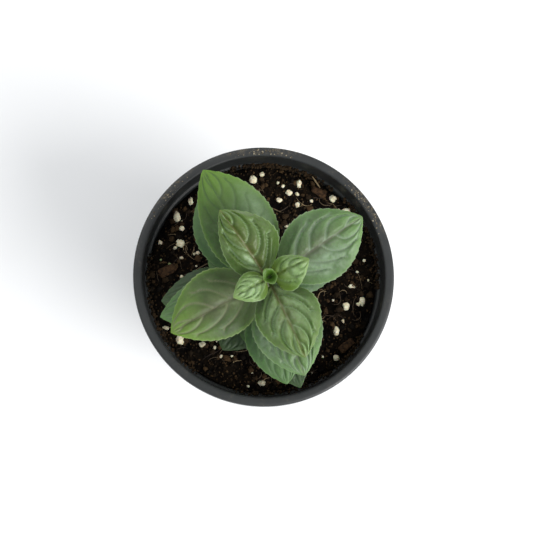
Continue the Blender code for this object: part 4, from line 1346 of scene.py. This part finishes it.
class MintPlantSettings(bpy.types.PropertyGroup):
    """The look of the stem and the leaves."""
    quilting: bpy.props.FloatProperty(name="Quilting",
        description="Height of the pillows between veins",
        default=1.0, min=0.0, max=2.0, subtype="FACTOR")
    serration: bpy.props.FloatProperty(name="Serration", description="Size of the marginal teeth",
        default=1.0, min=0.0, max=2.0, subtype="FACTOR")
    stem: bpy.props.FloatVectorProperty(name="Stem", description="The stem where it is not flushed",
        subtype="COLOR", size=4, min=0.0, max=1.0, default=hex_to_linear("61773E"))
    underside: bpy.props.FloatVectorProperty(name="Underside",
        description="The darker green under the leaves",
        subtype="COLOR", size=4, min=0.0, max=1.0, default=hex_to_linear("617A51"))


class MintStageSettings(bpy.types.PropertyGroup):
    """The paper and the lights of the plain studio."""
    key_power: bpy.props.FloatProperty(name="Key light", description="Power of the large soft light",
        default=8.2, min=0.0, unit="POWER")
    key_size: bpy.props.FloatProperty(name="Key width", description="Width of the large soft light",
        default=0.70, min=0.01, unit="LENGTH")
    fill_power: bpy.props.FloatProperty(name="Fill light", description="Power of the light behind",
        default=2.6, min=0.0, unit="POWER")
    fill_size: bpy.props.FloatProperty(name="Fill width", description="Width of the light behind",
        default=0.8, min=0.01, unit="LENGTH")
    sky: bpy.props.FloatProperty(name="Sky", description="Strength of the even surround",
        default=0.68, min=0.0)
    exposure: bpy.props.FloatProperty(name="Exposure", description="Brightness of the view",
        default=0.0)
    paper_reach: bpy.props.FloatProperty(name="Paper reach",
        description="From the pot to the edge of the paper",
        default=3.0, min=0.2, unit="LENGTH")
    paper: bpy.props.FloatVectorProperty(name="Paper", description="The background paper",
        subtype="COLOR", size=4, min=0.0, max=1.0, default=hex_to_linear("FAFAFA"))


# ---- operators and panel -------------------------------------------------------------------------
class MINT_OT_pot(bpy.types.Operator):
    """Mould the nursery pot."""
    bl_idname = "mint.pot"
    bl_label = "Pot"

    def execute(self, context):
        build_pot(context.scene.mint_pot)
        return {"FINISHED"}


class MINT_OT_soil(bpy.types.Operator):
    """Fill the pot with potting mix, crumbs and fibres."""
    bl_idname = "mint.soil"
    bl_label = "Soil"

    def execute(self, context):
        build_soil(context.scene.mint_soil)
        build_crumbs(context.scene.mint_soil)
        build_fibres(context.scene.mint_soil)
        return {"FINISHED"}


class MINT_OT_perlite(bpy.types.Operator):
    """Lay the perlite grains."""
    bl_idname = "mint.perlite"
    bl_label = "Perlite"

    def execute(self, context):
        build_perlite(context.scene.mint_soil)
        return {"FINISHED"}


class MINT_OT_bark(bpy.types.Operator):
    """Lay the bark chips."""
    bl_idname = "mint.bark"
    bl_label = "Bark"

    def execute(self, context):
        build_bark(context.scene.mint_soil)
        return {"FINISHED"}


class MINT_OT_stem(bpy.types.Operator):
    """Grow the square stem."""
    bl_idname = "mint.stem"
    bl_label = "Stem"

    def execute(self, context):
        build_stem(context.scene.mint_plant)
        return {"FINISHED"}


class MINT_OT_leaves(bpy.types.Operator):
    """Grow every leaf."""
    bl_idname = "mint.leaves"
    bl_label = "Leaves"

    def execute(self, context):
        build_leaves(context.scene.mint_plant)
        return {"FINISHED"}


class MINT_OT_stage(bpy.types.Operator):
    """Set the floor, the lights and the camera."""
    bl_idname = "mint.stage"
    bl_label = "Stage"

    def execute(self, context):
        build_stage(context.scene.mint_stage)
        return {"FINISHED"}


OPERATORS = (MINT_OT_pot, MINT_OT_soil, MINT_OT_perlite, MINT_OT_bark, MINT_OT_stem,
             MINT_OT_leaves, MINT_OT_stage)


class MINT_PT_panel(bpy.types.Panel):
    """Lists the pieces and their settings."""
    bl_label = "Potted mint"
    bl_idname = "MINT_PT_panel"
    bl_space_type = "VIEW_3D"
    bl_region_type = "UI"
    bl_category = "Mint"

    def draw(self, context):
        for operator in OPERATORS:
            self.layout.operator(operator.bl_idname)
        for group in SETTINGS:
            box = self.layout.box()
            settings = getattr(context.scene, group)
            for name in settings.__annotations__:
                box.prop(settings, name)


SETTINGS = {"mint_pot": MintPotSettings, "mint_soil": MintSoilSettings,
            "mint_plant": MintPlantSettings, "mint_stage": MintStageSettings}


def register():
    """Register the settings, the operators and the panel."""
    for group, kind in SETTINGS.items():
        bpy.utils.register_class(kind)
        setattr(bpy.types.Scene, group, bpy.props.PointerProperty(type=kind))
    for kind in (*OPERATORS, MINT_PT_panel):
        bpy.utils.register_class(kind)


def unregister():
    """Take the panel, the operators and the settings away again."""
    for kind in (MINT_PT_panel, *reversed(OPERATORS)):
        bpy.utils.unregister_class(kind)
    for group, kind in SETTINGS.items():
        delattr(bpy.types.Scene, group)
        bpy.utils.unregister_class(kind)


def main():
    """Build every piece and the stage."""
    register()
    bpy.ops.mint.pot()
    bpy.ops.mint.soil()
    bpy.ops.mint.perlite()
    bpy.ops.mint.bark()
    bpy.ops.mint.stem()
    bpy.ops.mint.leaves()
    bpy.ops.mint.stage()


if __name__ == "__main__":
    main()
